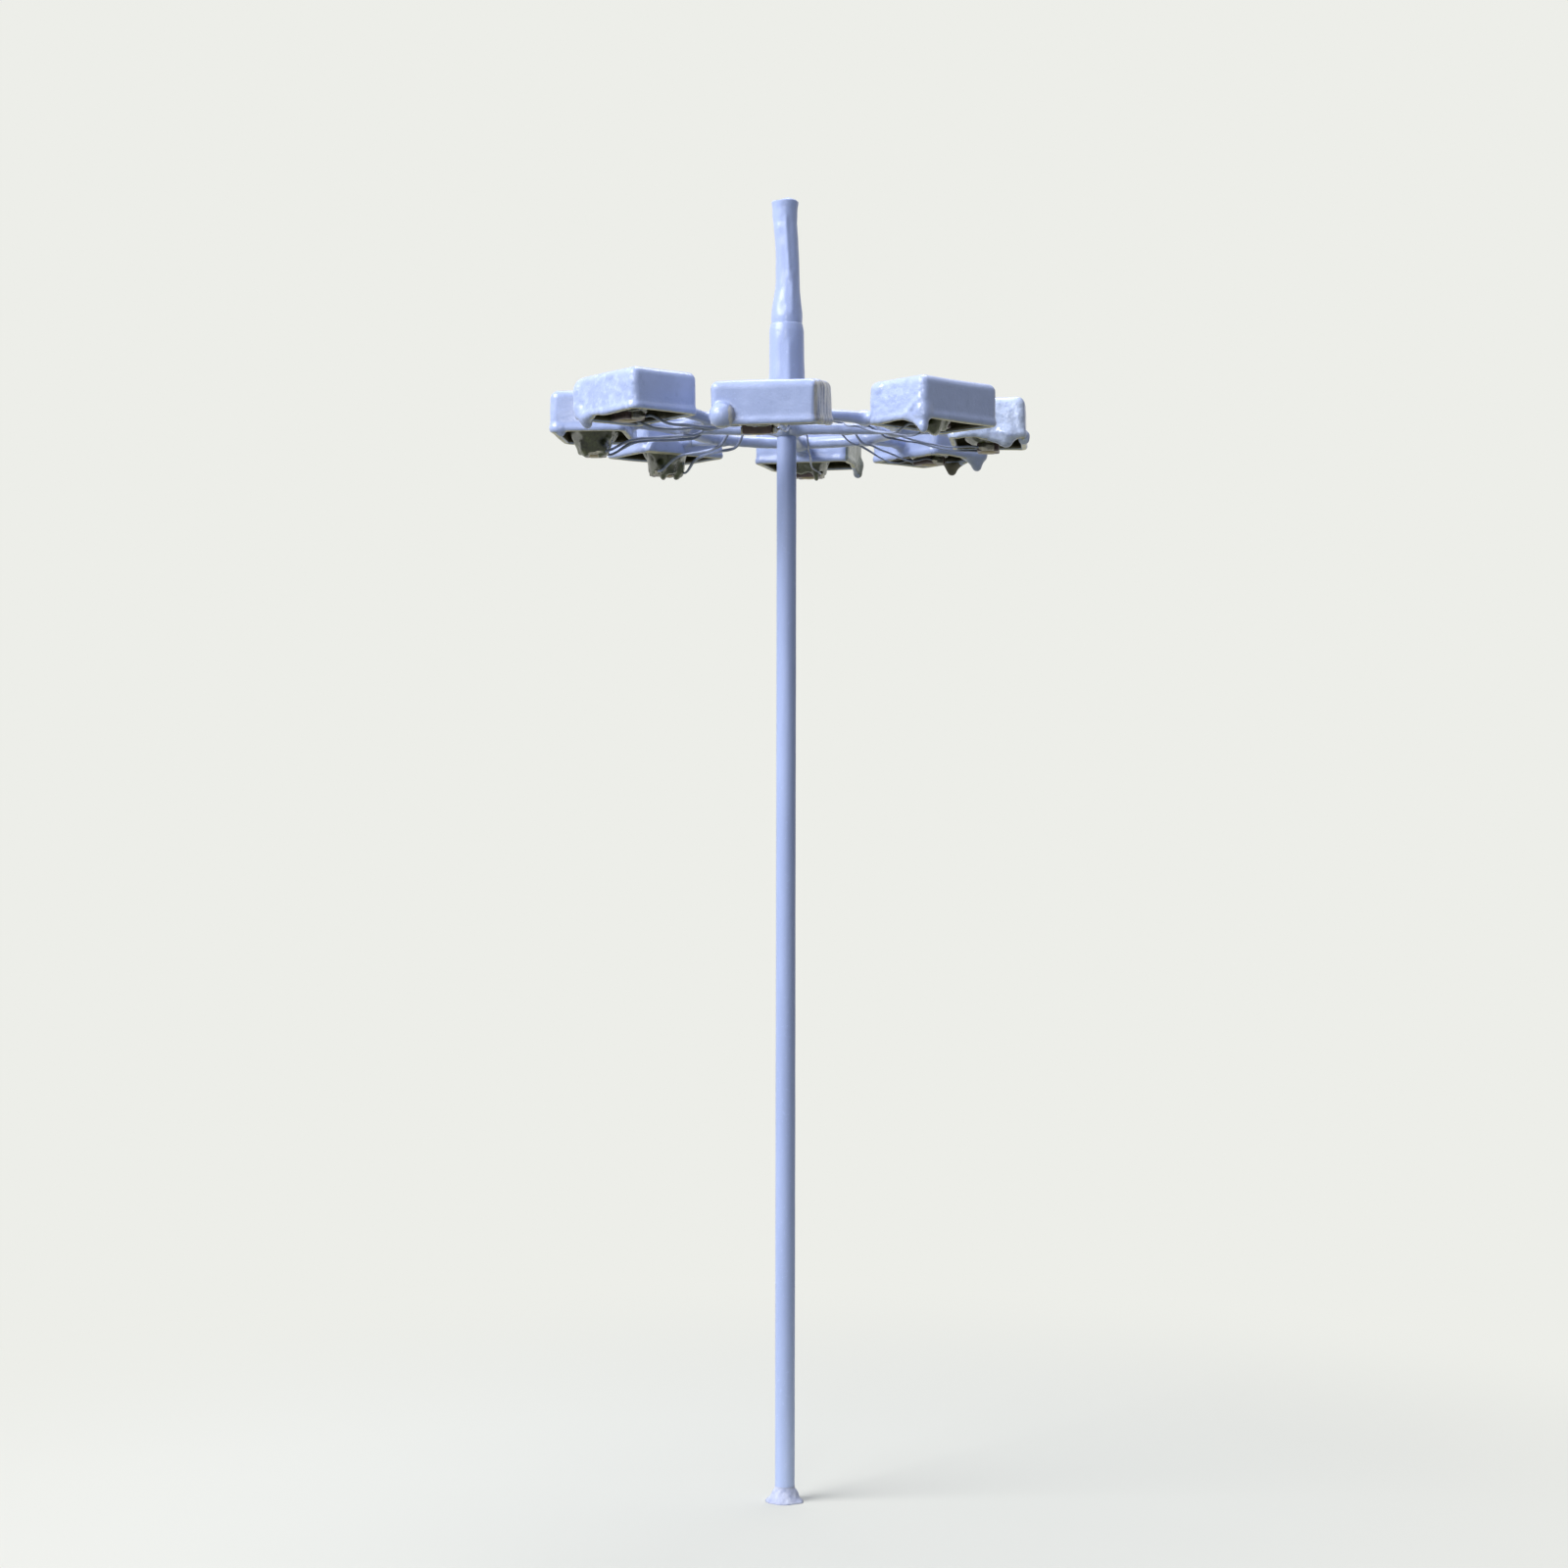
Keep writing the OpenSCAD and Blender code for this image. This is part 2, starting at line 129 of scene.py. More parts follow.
def box_field(p, low, high, rounding):
    low, high = np.asarray(low), np.asarray(high)
    q = np.abs(p - (low + high) / 2) - ((high - low) / 2 - rounding)
    outside = np.linalg.norm(np.maximum(q, 0), axis=-1)
    return outside + np.minimum(q.max(-1), 0) - rounding


def rod_field(p, start, end, start_r, end_r):
    """A rod with round ends that tapers from one radius to the other."""
    start, end = np.asarray(start, float), np.asarray(end, float)
    run = end - start
    t = np.clip((p - start) @ run / max(run @ run, 1e-9), 0, 1)
    away = np.linalg.norm(p - start - t[..., None] * run, axis=-1)
    return away - (start_r + (end_r - start_r) * t)


def drip_field(p, root, tip):
    """A drip from its root to its tip, both given as across, outward, up and radius."""
    return rod_field(p, root[:3], tip[:3], root[3], tip[3])


def tab_field(p, centre, half_w, height, thick):
    """An upright half-round tab that stands on the rim."""
    q = p - np.asarray(centre)
    face = (np.hypot(q[..., 0] / half_w, q[..., 2] / height) - 1) * height
    return smooth_max(smooth_max(face, np.abs(q[..., 1]) - thick, 0.3), -q[..., 2], 0.2)


def lump_field(p, centre, radii):
    """An ellipsoid, near enough to a distance close to its surface."""
    q = (p - np.asarray(centre)) / np.asarray(radii)
    length = np.linalg.norm(q, axis=-1)
    return (length - 1) * min(radii)


def rim_field(p, radius):
    """A bead of paint round the rim of a lamp head."""
    inset = HEAD_WALL / 2 + 0.05
    half = np.array([HEAD_W / 2 - inset, HEAD_D / 2 - inset])
    q = np.abs(p[..., :2]) - (half - RIM_CORNER)
    flat = np.linalg.norm(np.maximum(q, 0), axis=-1) + np.minimum(q.max(-1), 0) - RIM_CORNER
    return np.hypot(flat, p[..., 2] - radius) - radius


def sample_grid(low, high, step):
    axes = [np.arange(a, b + step, step) for a, b in zip(low, high)]
    return np.stack(np.meshgrid(*axes, indexing="ij"), -1)


def skin(values, low, step):
    """Points and quads of a surface net through the zero level of a grid."""
    inside = values < 0
    shape = np.array(values.shape) - 1
    corners = list(itertools.product((0, 1), repeat=3))

    # One point in each cell that the surface crosses: the mean of its crossings
    count = np.zeros(shape, int)
    for corner in corners:
        count += inside[tuple(slice(c, c + n) for c, n in zip(corner, shape))]
    active = (count > 0) & (count < len(corners))
    cells = np.argwhere(active)
    index = np.full(active.shape, -1)
    index[active] = np.arange(len(cells))
    total = np.zeros((len(cells), 3))
    hits = np.zeros(len(cells))
    for a, b in itertools.combinations(corners, 2):
        if sum(abs(m - n) for m, n in zip(a, b)) != 1:
            continue
        value_a = values[tuple((cells + a).T)]
        value_b = values[tuple((cells + b).T)]
        crossed = (value_a < 0) != (value_b < 0)
        t = np.where(crossed, value_a / np.where(crossed, value_a - value_b, 1), 0)
        total += crossed[:, None] * (np.array(a) + t[:, None] * (np.array(b) - np.array(a)))
        hits += crossed
    points = np.asarray(low) + (cells + total / hits[:, None]) * step

    # One quad round each edge of the grid that the surface crosses
    quads = []
    for axis in range(3):
        u, v = np.eye(3, dtype=int)[[(axis + 1) % 3, (axis + 2) % 3]]
        along = np.eye(3, dtype=int)[axis]
        first = inside[tuple(slice(0, n + 1 - k) for n, k in zip(shape, along))]
        second = inside[tuple(slice(k, n + 1) for n, k in zip(shape, along))]
        for out_first, edge in ((True, first & ~second), (False, second & ~first)):
            at = np.argwhere(edge)
            along_u, along_v = at @ u, at @ v
            at = at[(along_u > 0) & (along_v > 0) & (along_u < shape @ u) & (along_v < shape @ v)]
            ring = [index[tuple((at - offset).T)] for offset in (u + v, v, 0 * u, u)]
            quads.append(np.stack(ring if out_first else ring[::-1], 1))
    return points, np.concatenate(quads)


def quad_normals(points, quads):
    """Normals of quads, each as long as twice its area."""
    edge_a = points[quads[:, 2]] - points[quads[:, 0]]
    edge_b = points[quads[:, 3]] - points[quads[:, 1]]
    return np.cross(edge_a, edge_b)


def unit(vectors):
    return vectors / (np.linalg.norm(vectors, axis=1, keepdims=True) + 1e-12)


def make_piece(name, points, faces, materials, face_slots=None, normals=None):
    """A smooth-shaded mesh piece that rides on the part."""
    mesh = bpy.data.meshes.new(name)
    mesh.from_pydata((np.asarray(points) * MM).tolist(), [], [list(map(int, f)) for f in faces])
    for material in materials:
        mesh.materials.append(material)
    mesh.polygons.foreach_set("use_smooth", np.ones(len(mesh.polygons), bool))
    if face_slots is not None:
        mesh.polygons.foreach_set("material_index", np.asarray(face_slots, np.int32))
    if normals is not None:
        mesh.normals_split_custom_set_from_vertices(normals.tolist())
    mesh.update()
    piece = bpy.data.objects.new(name, mesh)
    bpy.context.collection.objects.link(piece)
    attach(piece, BODY)
    return piece


def node_points(node):
    """A CAD node's points, in millimetres."""
    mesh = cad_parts[node].data
    flat = np.empty(len(mesh.vertices) * 3, np.float32)
    mesh.vertices.foreach_get("co", flat)
    return flat.reshape(-1, 3).astype(float) / MM


def node_box(node):
    low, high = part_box(node)
    return np.array(low) / MM, np.array(high) / MM


class Head:
    """A lamp head's own axes: across its arm, outward from the mast, and up."""

    def __init__(self, number):
        self.number = number

        # The largest faces of the LED that look up and outward give the axes
        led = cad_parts[f"led_body_{number}"].data
        faces = sorted(led.polygons, key=lambda face: face.area)
        normals = np.array([face.normal for face in faces])
        points = node_points(f"led_body_{number}")
        radial = points.mean(0) * [1, 1, 0]
        up = normals[normals[:, 2] > 0.8][-1]
        outward = normals[normals @ radial > 0.7 * np.linalg.norm(radial)][-1]
        self.axes = np.array([np.cross(up, outward), outward, up])

        # The upper half of the housing has no drips, so it gives the centre
        housing = node_points(f"lamp_housing_{number}") @ self.axes.T
        rim = housing[:, 2].max() - HEAD_H
        upper = housing[housing[:, 2] > rim + HEAD_H / 2]
        middle = (upper.min(0) + upper.max(0)) / 2
        self.centre = np.array([middle[0], middle[1], rim]) @ self.axes
        self.arm = self.centre * [1, 1, 0] / np.hypot(*self.centre[:2])

        # The middle of the LED's underside, in the head's own axes
        box = (points - self.centre) @ self.axes.T
        self.led = np.append((box.min(0) + box.max(0))[:2] / 2, box[:, 2].min())

    def place(self, p):
        """Points in the head's own axes, placed on the part."""
        return self.centre + np.asarray(p) @ self.axes


heads = {i: Head(i) for i in HEADS}


# Materials
def srgb(*levels):
    """A linear colour from display levels of red, green and blue, from 0 to 255."""
    linear = [((c / 255 + 0.055) / 1.055) ** 2.4 if c > 10 else c / 3294.6 for c in levels]
    return (*linear, 1)


BLACK, WHITE = srgb(0, 0, 0), (1, 1, 1, 1)


def mix_colours(tree, factor, a, b):
    """A mix of two colours, each given as a value or as a socket."""
    mix = tree.nodes.new("ShaderNodeMix")
    mix.data_type = "RGBA"
    tree.links.new(factor, mix.inputs["Factor"])
    for name, colour in (("A", a), ("B", b)):
        socket = next(s for s in mix.inputs if s.name == name and s.type == "RGBA")
        if isinstance(colour, tuple):
            socket.default_value = colour
        else:
            tree.links.new(colour, socket)
    return next(s for s in mix.outputs if s.type == "RGBA")


class Nodes:
    """A small helper that wires one material's nodes."""

    def __init__(self, name):
        self.material = bpy.data.materials.new(name)
        self.material.use_nodes = True
        self.tree = self.material.node_tree
        self.shader = self.tree.nodes["Principled BSDF"]
        self.place = self.tree.nodes.new("ShaderNodeTexCoord").outputs["Object"]

    def add(self, kind):
        return self.tree.nodes.new(kind)

    def link(self, output, socket):
        self.tree.links.new(output, socket)

    def set(self, **values):
        """Constant values of the shader, with underscores for the blanks in their names."""
        for key, value in values.items():
            self.shader.inputs[key.replace("_", " ")].default_value = value

    def noise(self, size, detail=3, stretch=(1, 1, 1)):
        """Noise from 0 to 1 with features of about size millimetres."""
        mapping = self.add("ShaderNodeMapping")
        mapping.inputs["Scale"].default_value = [1 / s for s in stretch]
        self.link(self.place, mapping.inputs["Vector"])
        noise = self.add("ShaderNodeTexNoise")
        noise.inputs["Scale"].default_value = 1 / (size * MM)
        noise.inputs["Detail"].default_value = detail
        self.link(mapping.outputs["Vector"], noise.inputs["Vector"])
        return noise.outputs["Fac"]

    def ramp(self, value, *stops):
        """Colours along a value, each stop given as a position and a colour."""
        ramp = self.add("ShaderNodeValToRGB")
        elements = ramp.color_ramp.elements
        while len(elements) < len(stops):
            elements.new(0.5)
        for element, (position, colour) in zip(elements, stops):
            element.position = position
            element.color = colour
        self.link(value, ramp.inputs["Fac"])
        return ramp.outputs["Color"]

    def scale(self, value, low, high):
        scale = self.add("ShaderNodeMapRange")
        scale.inputs["To Min"].default_value = low
        scale.inputs["To Max"].default_value = high
        self.link(value, scale.inputs["Value"])
        return scale.outputs["Result"]

    def bump(self, value, depth):
        """Relief of a depth in millimetres, on top of what the shader has."""
        bump = self.add("ShaderNodeBump")
        bump.inputs["Distance"].default_value = depth * MM
        self.link(value, bump.inputs["Height"])
        previous = self.shader.inputs["Normal"]
        if previous.links:
            self.link(previous.links[0].from_socket, bump.inputs["Normal"])
        self.link(bump.outputs["Normal"], previous)


PAINT = srgb(164, 179, 222)
PAINT_PALE = srgb(172, 187, 230)
PAINT_DEEP = srgb(160, 175, 218)

# Sizes of what shows in the paint: clouds, patches of gloss, creases and orange peel
CLOUD, GLOSS, CREASE, PEEL = 2.2, 1.1, 0.9, 0.28


def paint_material(
    name,
    roughness,
    runs=(1, 1, 1),
    peel=0.02,
    crease=0.04,
    shine=0.5,
    chalk=PAINT_PALE,
    fleck=0.35,
    chalky=0.62,
):
    """Gloss enamel, brushed on thick: cloudy colour, chalky flecks, creases and orange peel.

    Runs stretches the pattern along each axis. Peel and crease are depths. Chalk
    is the colour of the flecks, fleck their size, and chalky the noise level
    above which they show. A pale chalk with a low level covers most of a face
    and paints a highlight onto it.
    above which they show.
    """
    nodes = Nodes(name)
    inputs = nodes.shader.inputs
    stops = (0.32, PAINT_DEEP), (0.52, PAINT), (0.72, PAINT_PALE)
    cloud = nodes.ramp(nodes.noise(CLOUD, 4, runs), *stops)
    speck = nodes.ramp(nodes.noise(fleck, 2), (chalky, BLACK), (chalky + 0.12, WHITE))
    nodes.link(mix_colours(nodes.tree, speck, cloud, chalk), inputs["Base Color"])
    nodes.link(nodes.scale(nodes.noise(GLOSS, 3, runs), *roughness), inputs["Roughness"])
    nodes.bump(nodes.noise(CREASE, 3, runs), crease)
    nodes.bump(nodes.noise(PEEL, 2), peel)
    nodes.set(Specular_IOR_Level=shine, Coat_Weight=0.4 * shine, Coat_Roughness=0.08)
    return nodes.material


def plain_material(name, dark, pale, size, roughness, depth=0.01, runs=(1, 1, 1), **settings):
    """A cloudy colour with its own grain: plastic, metal or resin by its settings.

    Dark and pale are display levels, size is that of the clouds, and depth that
    of the grain.
    """
    nodes = Nodes(name)
    inputs = nodes.shader.inputs
    cloud = nodes.ramp(nodes.noise(size, 4, runs), (0.3, srgb(*dark)), (0.7, srgb(*pale)))
    nodes.link(cloud, inputs["Base Color"])
    nodes.link(nodes.scale(nodes.noise(size / 2, 3), *roughness), inputs["Roughness"])
    nodes.bump(nodes.noise(size / 3, 3), depth)
    nodes.set(**settings)
    return nodes.material


paint = paint_material("gloss_paint", (0.24, 0.34))
# Paler chalk over most of the face: painted highlight on the lit side of head 2, over real
# creases in the relief
wrinkled_paint_painted_highlight = paint_material(
    "wrinkled_paint_painted_highlight",
    (0.14, 0.3),
    peel=0.012,
    crease=0.17,
    chalk=srgb(174, 189, 230),
    fleck=1.3,
    chalky=0.36,
)
# Paler chalk over much of the face: painted highlight on the lit outward side of head 8, over
# brush marks in the relief
brushed_paint_painted_highlight = paint_material(
    "brushed_paint_painted_highlight",
    (0.22, 0.34),
    peel=0.015,
    crease=0.1,
    chalk=srgb(178, 193, 234),
    fleck=0.8,
    chalky=0.52,
)
# Pale chalk over most of the face: painted glints and painted highlight on the near end of head
# 3, over real creases in the relief
creased_paint_painted_glints = paint_material(
    "creased_paint_painted_glints",
    (0.1, 0.26),
    peel=0.02,
    crease=0.2,
    chalk=srgb(200, 214, 246),
    fleck=0.8,
    chalky=0.26,
)
streaked_paint = paint_material(
    "streaked_paint", (0.24, 0.42), runs=(1, 1, 5), peel=0.02, shine=0.45
)
satin_paint = paint_material(
    "satin_paint", (0.38, 0.5), runs=(1, 1, 9), peel=0.01, crease=0.02, shine=0.25
)
tarnish = plain_material("tarnished_inside", (52, 50, 38), (86, 82, 60), 1.2, (0.3, 0.6), 0.04)
bare = plain_material(
    "bare_rim", (150, 148, 120), (190, 188, 160), 0.8, (0.25, 0.45), 0.02, Metallic=0.3
)
film = plain_material("varnish_film", (120, 128, 118), (160, 166, 158), 1.4, (0.12, 0.25), 0.03)
# Dark and cream vertical streaks: painted shade in the creases and painted reflection along their
# crests, on the right end of head 1
shade_and_reflection_streaks = plain_material(
    "painted_shade_and_reflection_streaks", (104, 112, 146), (222, 220, 214), 0.55, (0.2, 0.4), 0.05, (1, 1, 7)
)
crust = plain_material("crusted_foot", (146, 155, 192), (190, 196, 222), 0.7, (0.4, 0.7), 0.06)
# The LED case is darkened to purple-brown: painted shade, for a case that hangs in shadow under
# its head
shaded_led_case = plain_material("shaded_led_case", (58, 44, 46), (98, 78, 78), 0.9, (0.3, 0.5))
# The phosphor is darkened to an olive yellow: painted shade
phosphor = plain_material("phosphor", (128, 110, 54), (154, 134, 70), 0.5, (0.3, 0.5))
tinned = plain_material(
    "tinned_contact", (118, 116, 106), (164, 162, 150), 0.4, (0.25, 0.45), Metallic=0.8
)
resin = plain_material(
    "olive_resin",
    (42, 47, 30),
    (112, 120, 84),
    1.2,
    (0.12, 0.3),
    0.05,
    Transmission_Weight=0.12,
    IOR=1.45,
)
wire_enamel = plain_material("wire_enamel", (112, 121, 149), (170, 183, 218), 3.0, (0.2, 0.4))
copper = plain_material("copper", (170, 104, 62), (204, 140, 92), 0.8, (0.25, 0.4), Metallic=1.0)
solder = plain_material("solder", (168, 172, 178), (200, 204, 208), 0.5, (0.3, 0.5), Metallic=1.0)
brass = plain_material("brass", (176, 148, 84), (206, 180, 110), 1.0, (0.25, 0.4), Metallic=1.0)
bush_plastic = plain_material("bush_plastic", (222, 214, 192), (236, 230, 212), 0.8, (0.45, 0.6))


# Lamp housings. Each drip runs from a root to a tip, both given as across,
# outward, up and radius, and ends with the blend of its joint with the shell.
# A tab is a centre, half width, height and half thickness.
DRIPS = {
    1: [((-5.0, 4.6, 1.1, 1.6), (-5.0, 4.6, 1.1, 1.6), 0.15)],
    2: [
        ((-5.7, 4.0, 0.9, 0.85), (-5.75, 4.15, -1.4, 0.4), 0.6),
        ((-5.95, 2.0, 0.3, 0.5), (-5.8, 4.0, -0.9, 0.5), 0.6),
        ((-6.3, 1.9, 0.6, 0.3), (-6.2, 3.9, 2.2, 0.3), 0.5),
    ],
    3: [
        ((-5.9, 2.6, 0.3, 1.25), (-5.9, 2.4, -0.35, 0.85), 0.6),
        ((-5.9, -0.6, 0.2, 0.4), (-5.9, 2.4, -0.4, 0.6), 0.6),
        ((-4.2, 4.6, 0.3, 0.75), (-4.2, 4.6, 0.0, 0.7), 0.4),
    ],
    4: [
        ((-5.3, 3.7, 0.5, 1.25), (-5.3, 3.8, -1.1, 0.55), 0.8),
        ((-5.8, 1.0, 0.2, 0.4), (-5.5, 3.4, -0.6, 0.6), 0.7),
        ((0.5, 4.2, 0.3, 1.1), (0.3, 4.3, -1.1, 0.5), 0.9),
        ((-2.0, 4.4, 0.2, 0.4), (0.3, 4.3, -0.8, 0.45), 0.7),
    ],
    5: [
        ((-6.0, 3.6, 0.6, 0.8), (-6.0, 3.7, -0.8, 0.5), 0.6),
        ((-6.0, 0.5, 0.2, 0.35), (-6.0, 3.6, -0.7, 0.5), 0.5),
    ],
    7: [((5.9, 3.6, 0.3, 0.6), (5.8, 3.4, -0.2, 0.45), 0.6)],
    8: [
        ((-5.2, 3.7, 0.8, 1.0), (-4.9, 3.7, -0.7, 0.5), 0.6),
        ((-3.2, 4.3, 0.2, 0.4), (-4.9, 4.1, -0.3, 0.5), 0.6),
        ((-5.8, 4.1, 1.3, 0.95), (-5.8, 4.1, 3.5, 0.9), 0.7),
    ],
}
TABS = {6: ((3.3, -4.75, 0), 2.95, 2.15, 0.75)}

# Drips under the rim that take the dark cavity colour as painted shade: across, and half width
DRIPS_IN_PAINTED_SHADE = {4: (0.2, 1.8)}

# Wrinkles in the paint: which side, depth and size along each of its own axes
WRINKLES = {
    1: [((1, 0), 0.2, (9, 0.55, 6)), ((0, 1), 0.03, (4, 4, 3))],
    2: [((-1, 0), 0.1, (9, 1.5, 1.3)), ((0, 1), 0.03, (5, 5, 4))],
    3: [((-1, 0), 0.12, (9, 1.2, 1.0)), ((0, 1), 0.05, (3, 3, 2))],
    4: [((-1, 0), 0.08, (9, 2.2, 1.6)), ((0, -1), 0.08, (2.4, 9, 1.6))],
    5: [((-1, 0), 0.1, (9, 1.2, 2.5)), ((0, -1), 0.06, (2.4, 9, 1.6))],
    6: [((1, 0), 0.08, (9, 2.2, 1.6)), ((0, -1), 0.08, (2.4, 9, 1.6))],
    7: [((1, 0), 0.06, (9, 3, 2)), ((0, 1), 0.05, (3, 3, 2))],
    8: [((0, 1), 0.12, (2.0, 9, 1.7)), ((1, 0), 0.03, (5, 5, 4))],
}

# Sides with a look of their own: direction and material. Head 1 has streaks of
# painted shade and painted reflection, heads 2, 3 and 8 wrinkled, creased or
# brushed paint with a painted highlight on the lit side, and head 5 a film that
# bridges the side.
SIDE_FINISH_AND_PAINTED_LIGHT = {
    1: ((1, 0), shade_and_reflection_streaks),
    2: ((-1, 0), wrinkled_paint_painted_highlight),
    3: ((-1, 0), creased_paint_painted_glints),
    5: ((-1, 0), film),
    8: ((0, 1), brushed_paint_painted_highlight),
}


def housing_field(p, number):
    half_w, half_d = HEAD_W / 2, HEAD_D / 2

    # The open box, with a bead of paint round its rim
    outer = box_field(p, (-half_w, -half_d, -3), (half_w, half_d, HEAD_H), HEAD_ROUND)
    cavity = box_field(
        p,
        (HEAD_WALL - half_w, HEAD_WALL - half_d, -5),
        (half_w - HEAD_WALL, half_d - HEAD_WALL, HEAD_H - HEAD_ROOF),
        0.5,
    )
    shell = smooth_max(smooth_max(outer, -p[..., 2], 0.4), -cavity, 0.25)
    shell = smooth_min(shell, rim_field(p, RIM_BEAD), 0.35)

    # The solder where the arm meets the wall, and the drips
    seat, stub = (0, -half_d + 0.4, ARM_SEAT), (0, -half_d - 1.4, ARM_SEAT - 0.1)
    neck = rod_field(p, seat, stub, SOLDER_R, ARM_R - 0.05)
    shell = smooth_min(shell, smooth_max(neck, p[..., 1] + half_d - HEAD_WALL, 0.2), 0.7)
    for root, tip, blend in DRIPS.get(number, []):
        shell = smooth_min(shell, drip_field(p, root, tip), blend)
    if number in TABS:
        shell = smooth_min(shell, np.maximum(tab_field(p, *TABS[number]), -cavity - 0.3), 0.1)

    # Unevenness of the paint, which is only needed near the surface
    near = np.abs(shell) < 1.2
    q = p[near]
    ripple = uneven(q, (0.02, 2.6, SEED_RIPPLE + number), (0.05, 6, SEED_SAG + number))
    for k, ((side_x, side_y), depth, size) in enumerate(WRINKLES[number]):
        edge = half_w if side_x else half_d
        on_side = smooth_step(edge - 1.2, edge - 0.2, side_x * q[:, 0] + side_y * q[:, 1])
        place = 10 * number + k
        coarse = (1, size, SEED_FOLD + place)
        fine = (0.4, np.array(size) * 0.45, SEED_FINE_FOLD + place)
        ripple += on_side * depth * uneven(q, coarse, fine)
    shell[near] += ripple
    return shell


def make_housing(head):
    margin = 0.8
    low = np.array([-HEAD_W / 2 - margin, -HEAD_D / 2 - 1.9, -3.0])
    high = np.array([HEAD_W / 2 + margin, HEAD_D / 2 + 2.2, HEAD_H + margin])
    p = sample_grid(low, high, HEAD_STEP)
    points, quads = skin(housing_field(p, head.number), low, HEAD_STEP)
    normal = unit(quad_normals(points, quads))
    middle = points[quads].mean(1)

    # Paint outside, tarnish in the cavity and bare metal under the rim
    materials = [paint, tarnish, bare]
    outside, in_cavity, on_rim = range(len(materials))
    inset, slack = HEAD_WALL + 0.12, 0.2
    within = (
        (np.abs(middle[:, 0]) < HEAD_W / 2 - inset + slack)
        & (np.abs(middle[:, 1]) < HEAD_D / 2 - inset + slack)
        & (middle[:, 2] > 0.15)
        & (middle[:, 2] < HEAD_H - HEAD_ROOF + slack)
    )
    slots = np.where(within, in_cavity, outside)
    underside = (np.abs(middle[:, 2]) < 0.25) & (normal[:, 2] < -0.85)
    slots[(slots == outside) & underside] = on_rim
    # This drip hangs in shadow; the dark cavity colour on it is painted shade
    if head.number in DRIPS_IN_PAINTED_SHADE:
        across, half = DRIPS_IN_PAINTED_SHADE[head.number]
        slots[(np.abs(middle[:, 0] - across) < half) & (middle[:, 2] < 0)] = in_cavity
    # Painted highlight on the lit sides of heads 2, 3 and 8, painted shade and reflection in the
    # streaks of head 1, and a film on head 5
    if head.number in SIDE_FINISH_AND_PAINTED_LIGHT:
        side, side_material = SIDE_FINISH_AND_PAINTED_LIGHT[head.number]
        slots[(normal[:, :2] @ np.array(side) > 0.6) & (slots == outside)] = len(materials)
        materials.append(side_material)
    piece = make_piece(f"painted_head_{head.number}", head.place(points), quads, materials, slots)
    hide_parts(f"lamp_housing_{head.number}")


for head in heads.values():
    make_housing(head)


# Hoop, spokes and arms grow as one painted skin, which is then parted by node
hoop_low, hoop_high = node_box("carrier_hoop")
hoop_centre = (hoop_low + hoop_high) / 2
hoop_rod = (hoop_high[2] - hoop_low[2]) / 2
hoop_r = (hoop_high[0] - hoop_low[0]) / 2 - hoop_rod
mast_r = node_box("mast_tube")[1][0]

# Half width and half height of the sampled box
RODS_REACH, RODS_RISE = 21.8, 3.2

# Waves in the paint, here and below: height, size and seed of each layer
ROD_WAVES = (0.06, 2.4, 5), (0.03, 0.9, 6)


def hoop_reach(direction):
    """Distance from the mast's axis to the hoop's rod along a direction."""
    offset = hoop_centre[:2]
    along = offset @ direction[:2]
    return along + math.sqrt(hoop_r**2 - offset @ offset + along**2)


def arm_ends(head):
    """An arm's ends: on the hoop, and at the head's wall."""
    start = head.arm * hoop_reach(head.arm) + [0, 0, hoop_centre[2]]
    wall = head.place((0, -HEAD_D / 2, ARM_SEAT))
    inward = head.arm * ((wall - start) @ head.arm)
    return start, start + inward + [0, 0, wall[2] - start[2]]


def rod_fields(p):
    """One distance per node of the hoop, the spokes and the arms."""
    ring = np.hypot(p[..., 0] - hoop_centre[0], p[..., 1] - hoop_centre[1]) - hoop_r
    fields = {"carrier_hoop": np.hypot(ring, p[..., 2] - hoop_centre[2]) - hoop_rod}
    level = np.array([0, 0, hoop_centre[2]])
    for j, number in enumerate(SPOKE_HEADS, 1):
        run = heads[number].arm
        reach = hoop_reach(run)
        spoke = rod_field(p, level + run * mast_r, level + run * reach, ARM_R, ARM_R)
        root, tip = level + run * (mast_r - 0.3), level + run * (mast_r + 1.3)
        hub = rod_field(p, root, tip, SOLDER_R, 0.5)
        fields[f"spoke_{j}"] = smooth_min(spoke, hub, 0.5)
    for number, head in heads.items():
        start, end = arm_ends(head)
        fields[f"head_arm_{number}"] = rod_field(p, start, end, ARM_R, ARM_R)
    return fields


def make_rods():
    level = hoop_centre[2]
    low = np.array([-RODS_REACH, -RODS_REACH, level - RODS_RISE])
    high = np.array([RODS_REACH, RODS_REACH, level + RODS_RISE])
    p = sample_grid(low, high, ROD_STEP)
    values = None
    for field in rod_fields(p).values():
        values = field if values is None else smooth_min(values, field, 0.9)
    values = smooth_max(values, mast_r - 0.15 - np.hypot(p[..., 0], p[..., 1]), 0.1)
    near = np.abs(values) < 0.6
    values[near] += uneven(p[near], *ROD_WAVES)
    points, quads = skin(values, low, ROD_STEP)

    # Normals of the whole skin, so that no seam shows where it is parted
    face_normals = quad_normals(points, quads)
    normals = np.zeros_like(points)
    for corner in quads.T:
        np.add.at(normals, corner, face_normals)
    normals = unit(normals)

    # Each face goes to the node that it is nearest to
    parts = rod_fields(points[quads].mean(1))
    owner = np.argmin(np.stack(list(parts.values())), axis=0)
    for k, node in enumerate(parts):
        used, own = np.unique(quads[owner == k], return_inverse=True)
        own = own.reshape(-1, 4)
        piece = make_piece(f"painted_{node}", points[used], own, [paint], normals=normals[used])
        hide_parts(node)


make_rods()


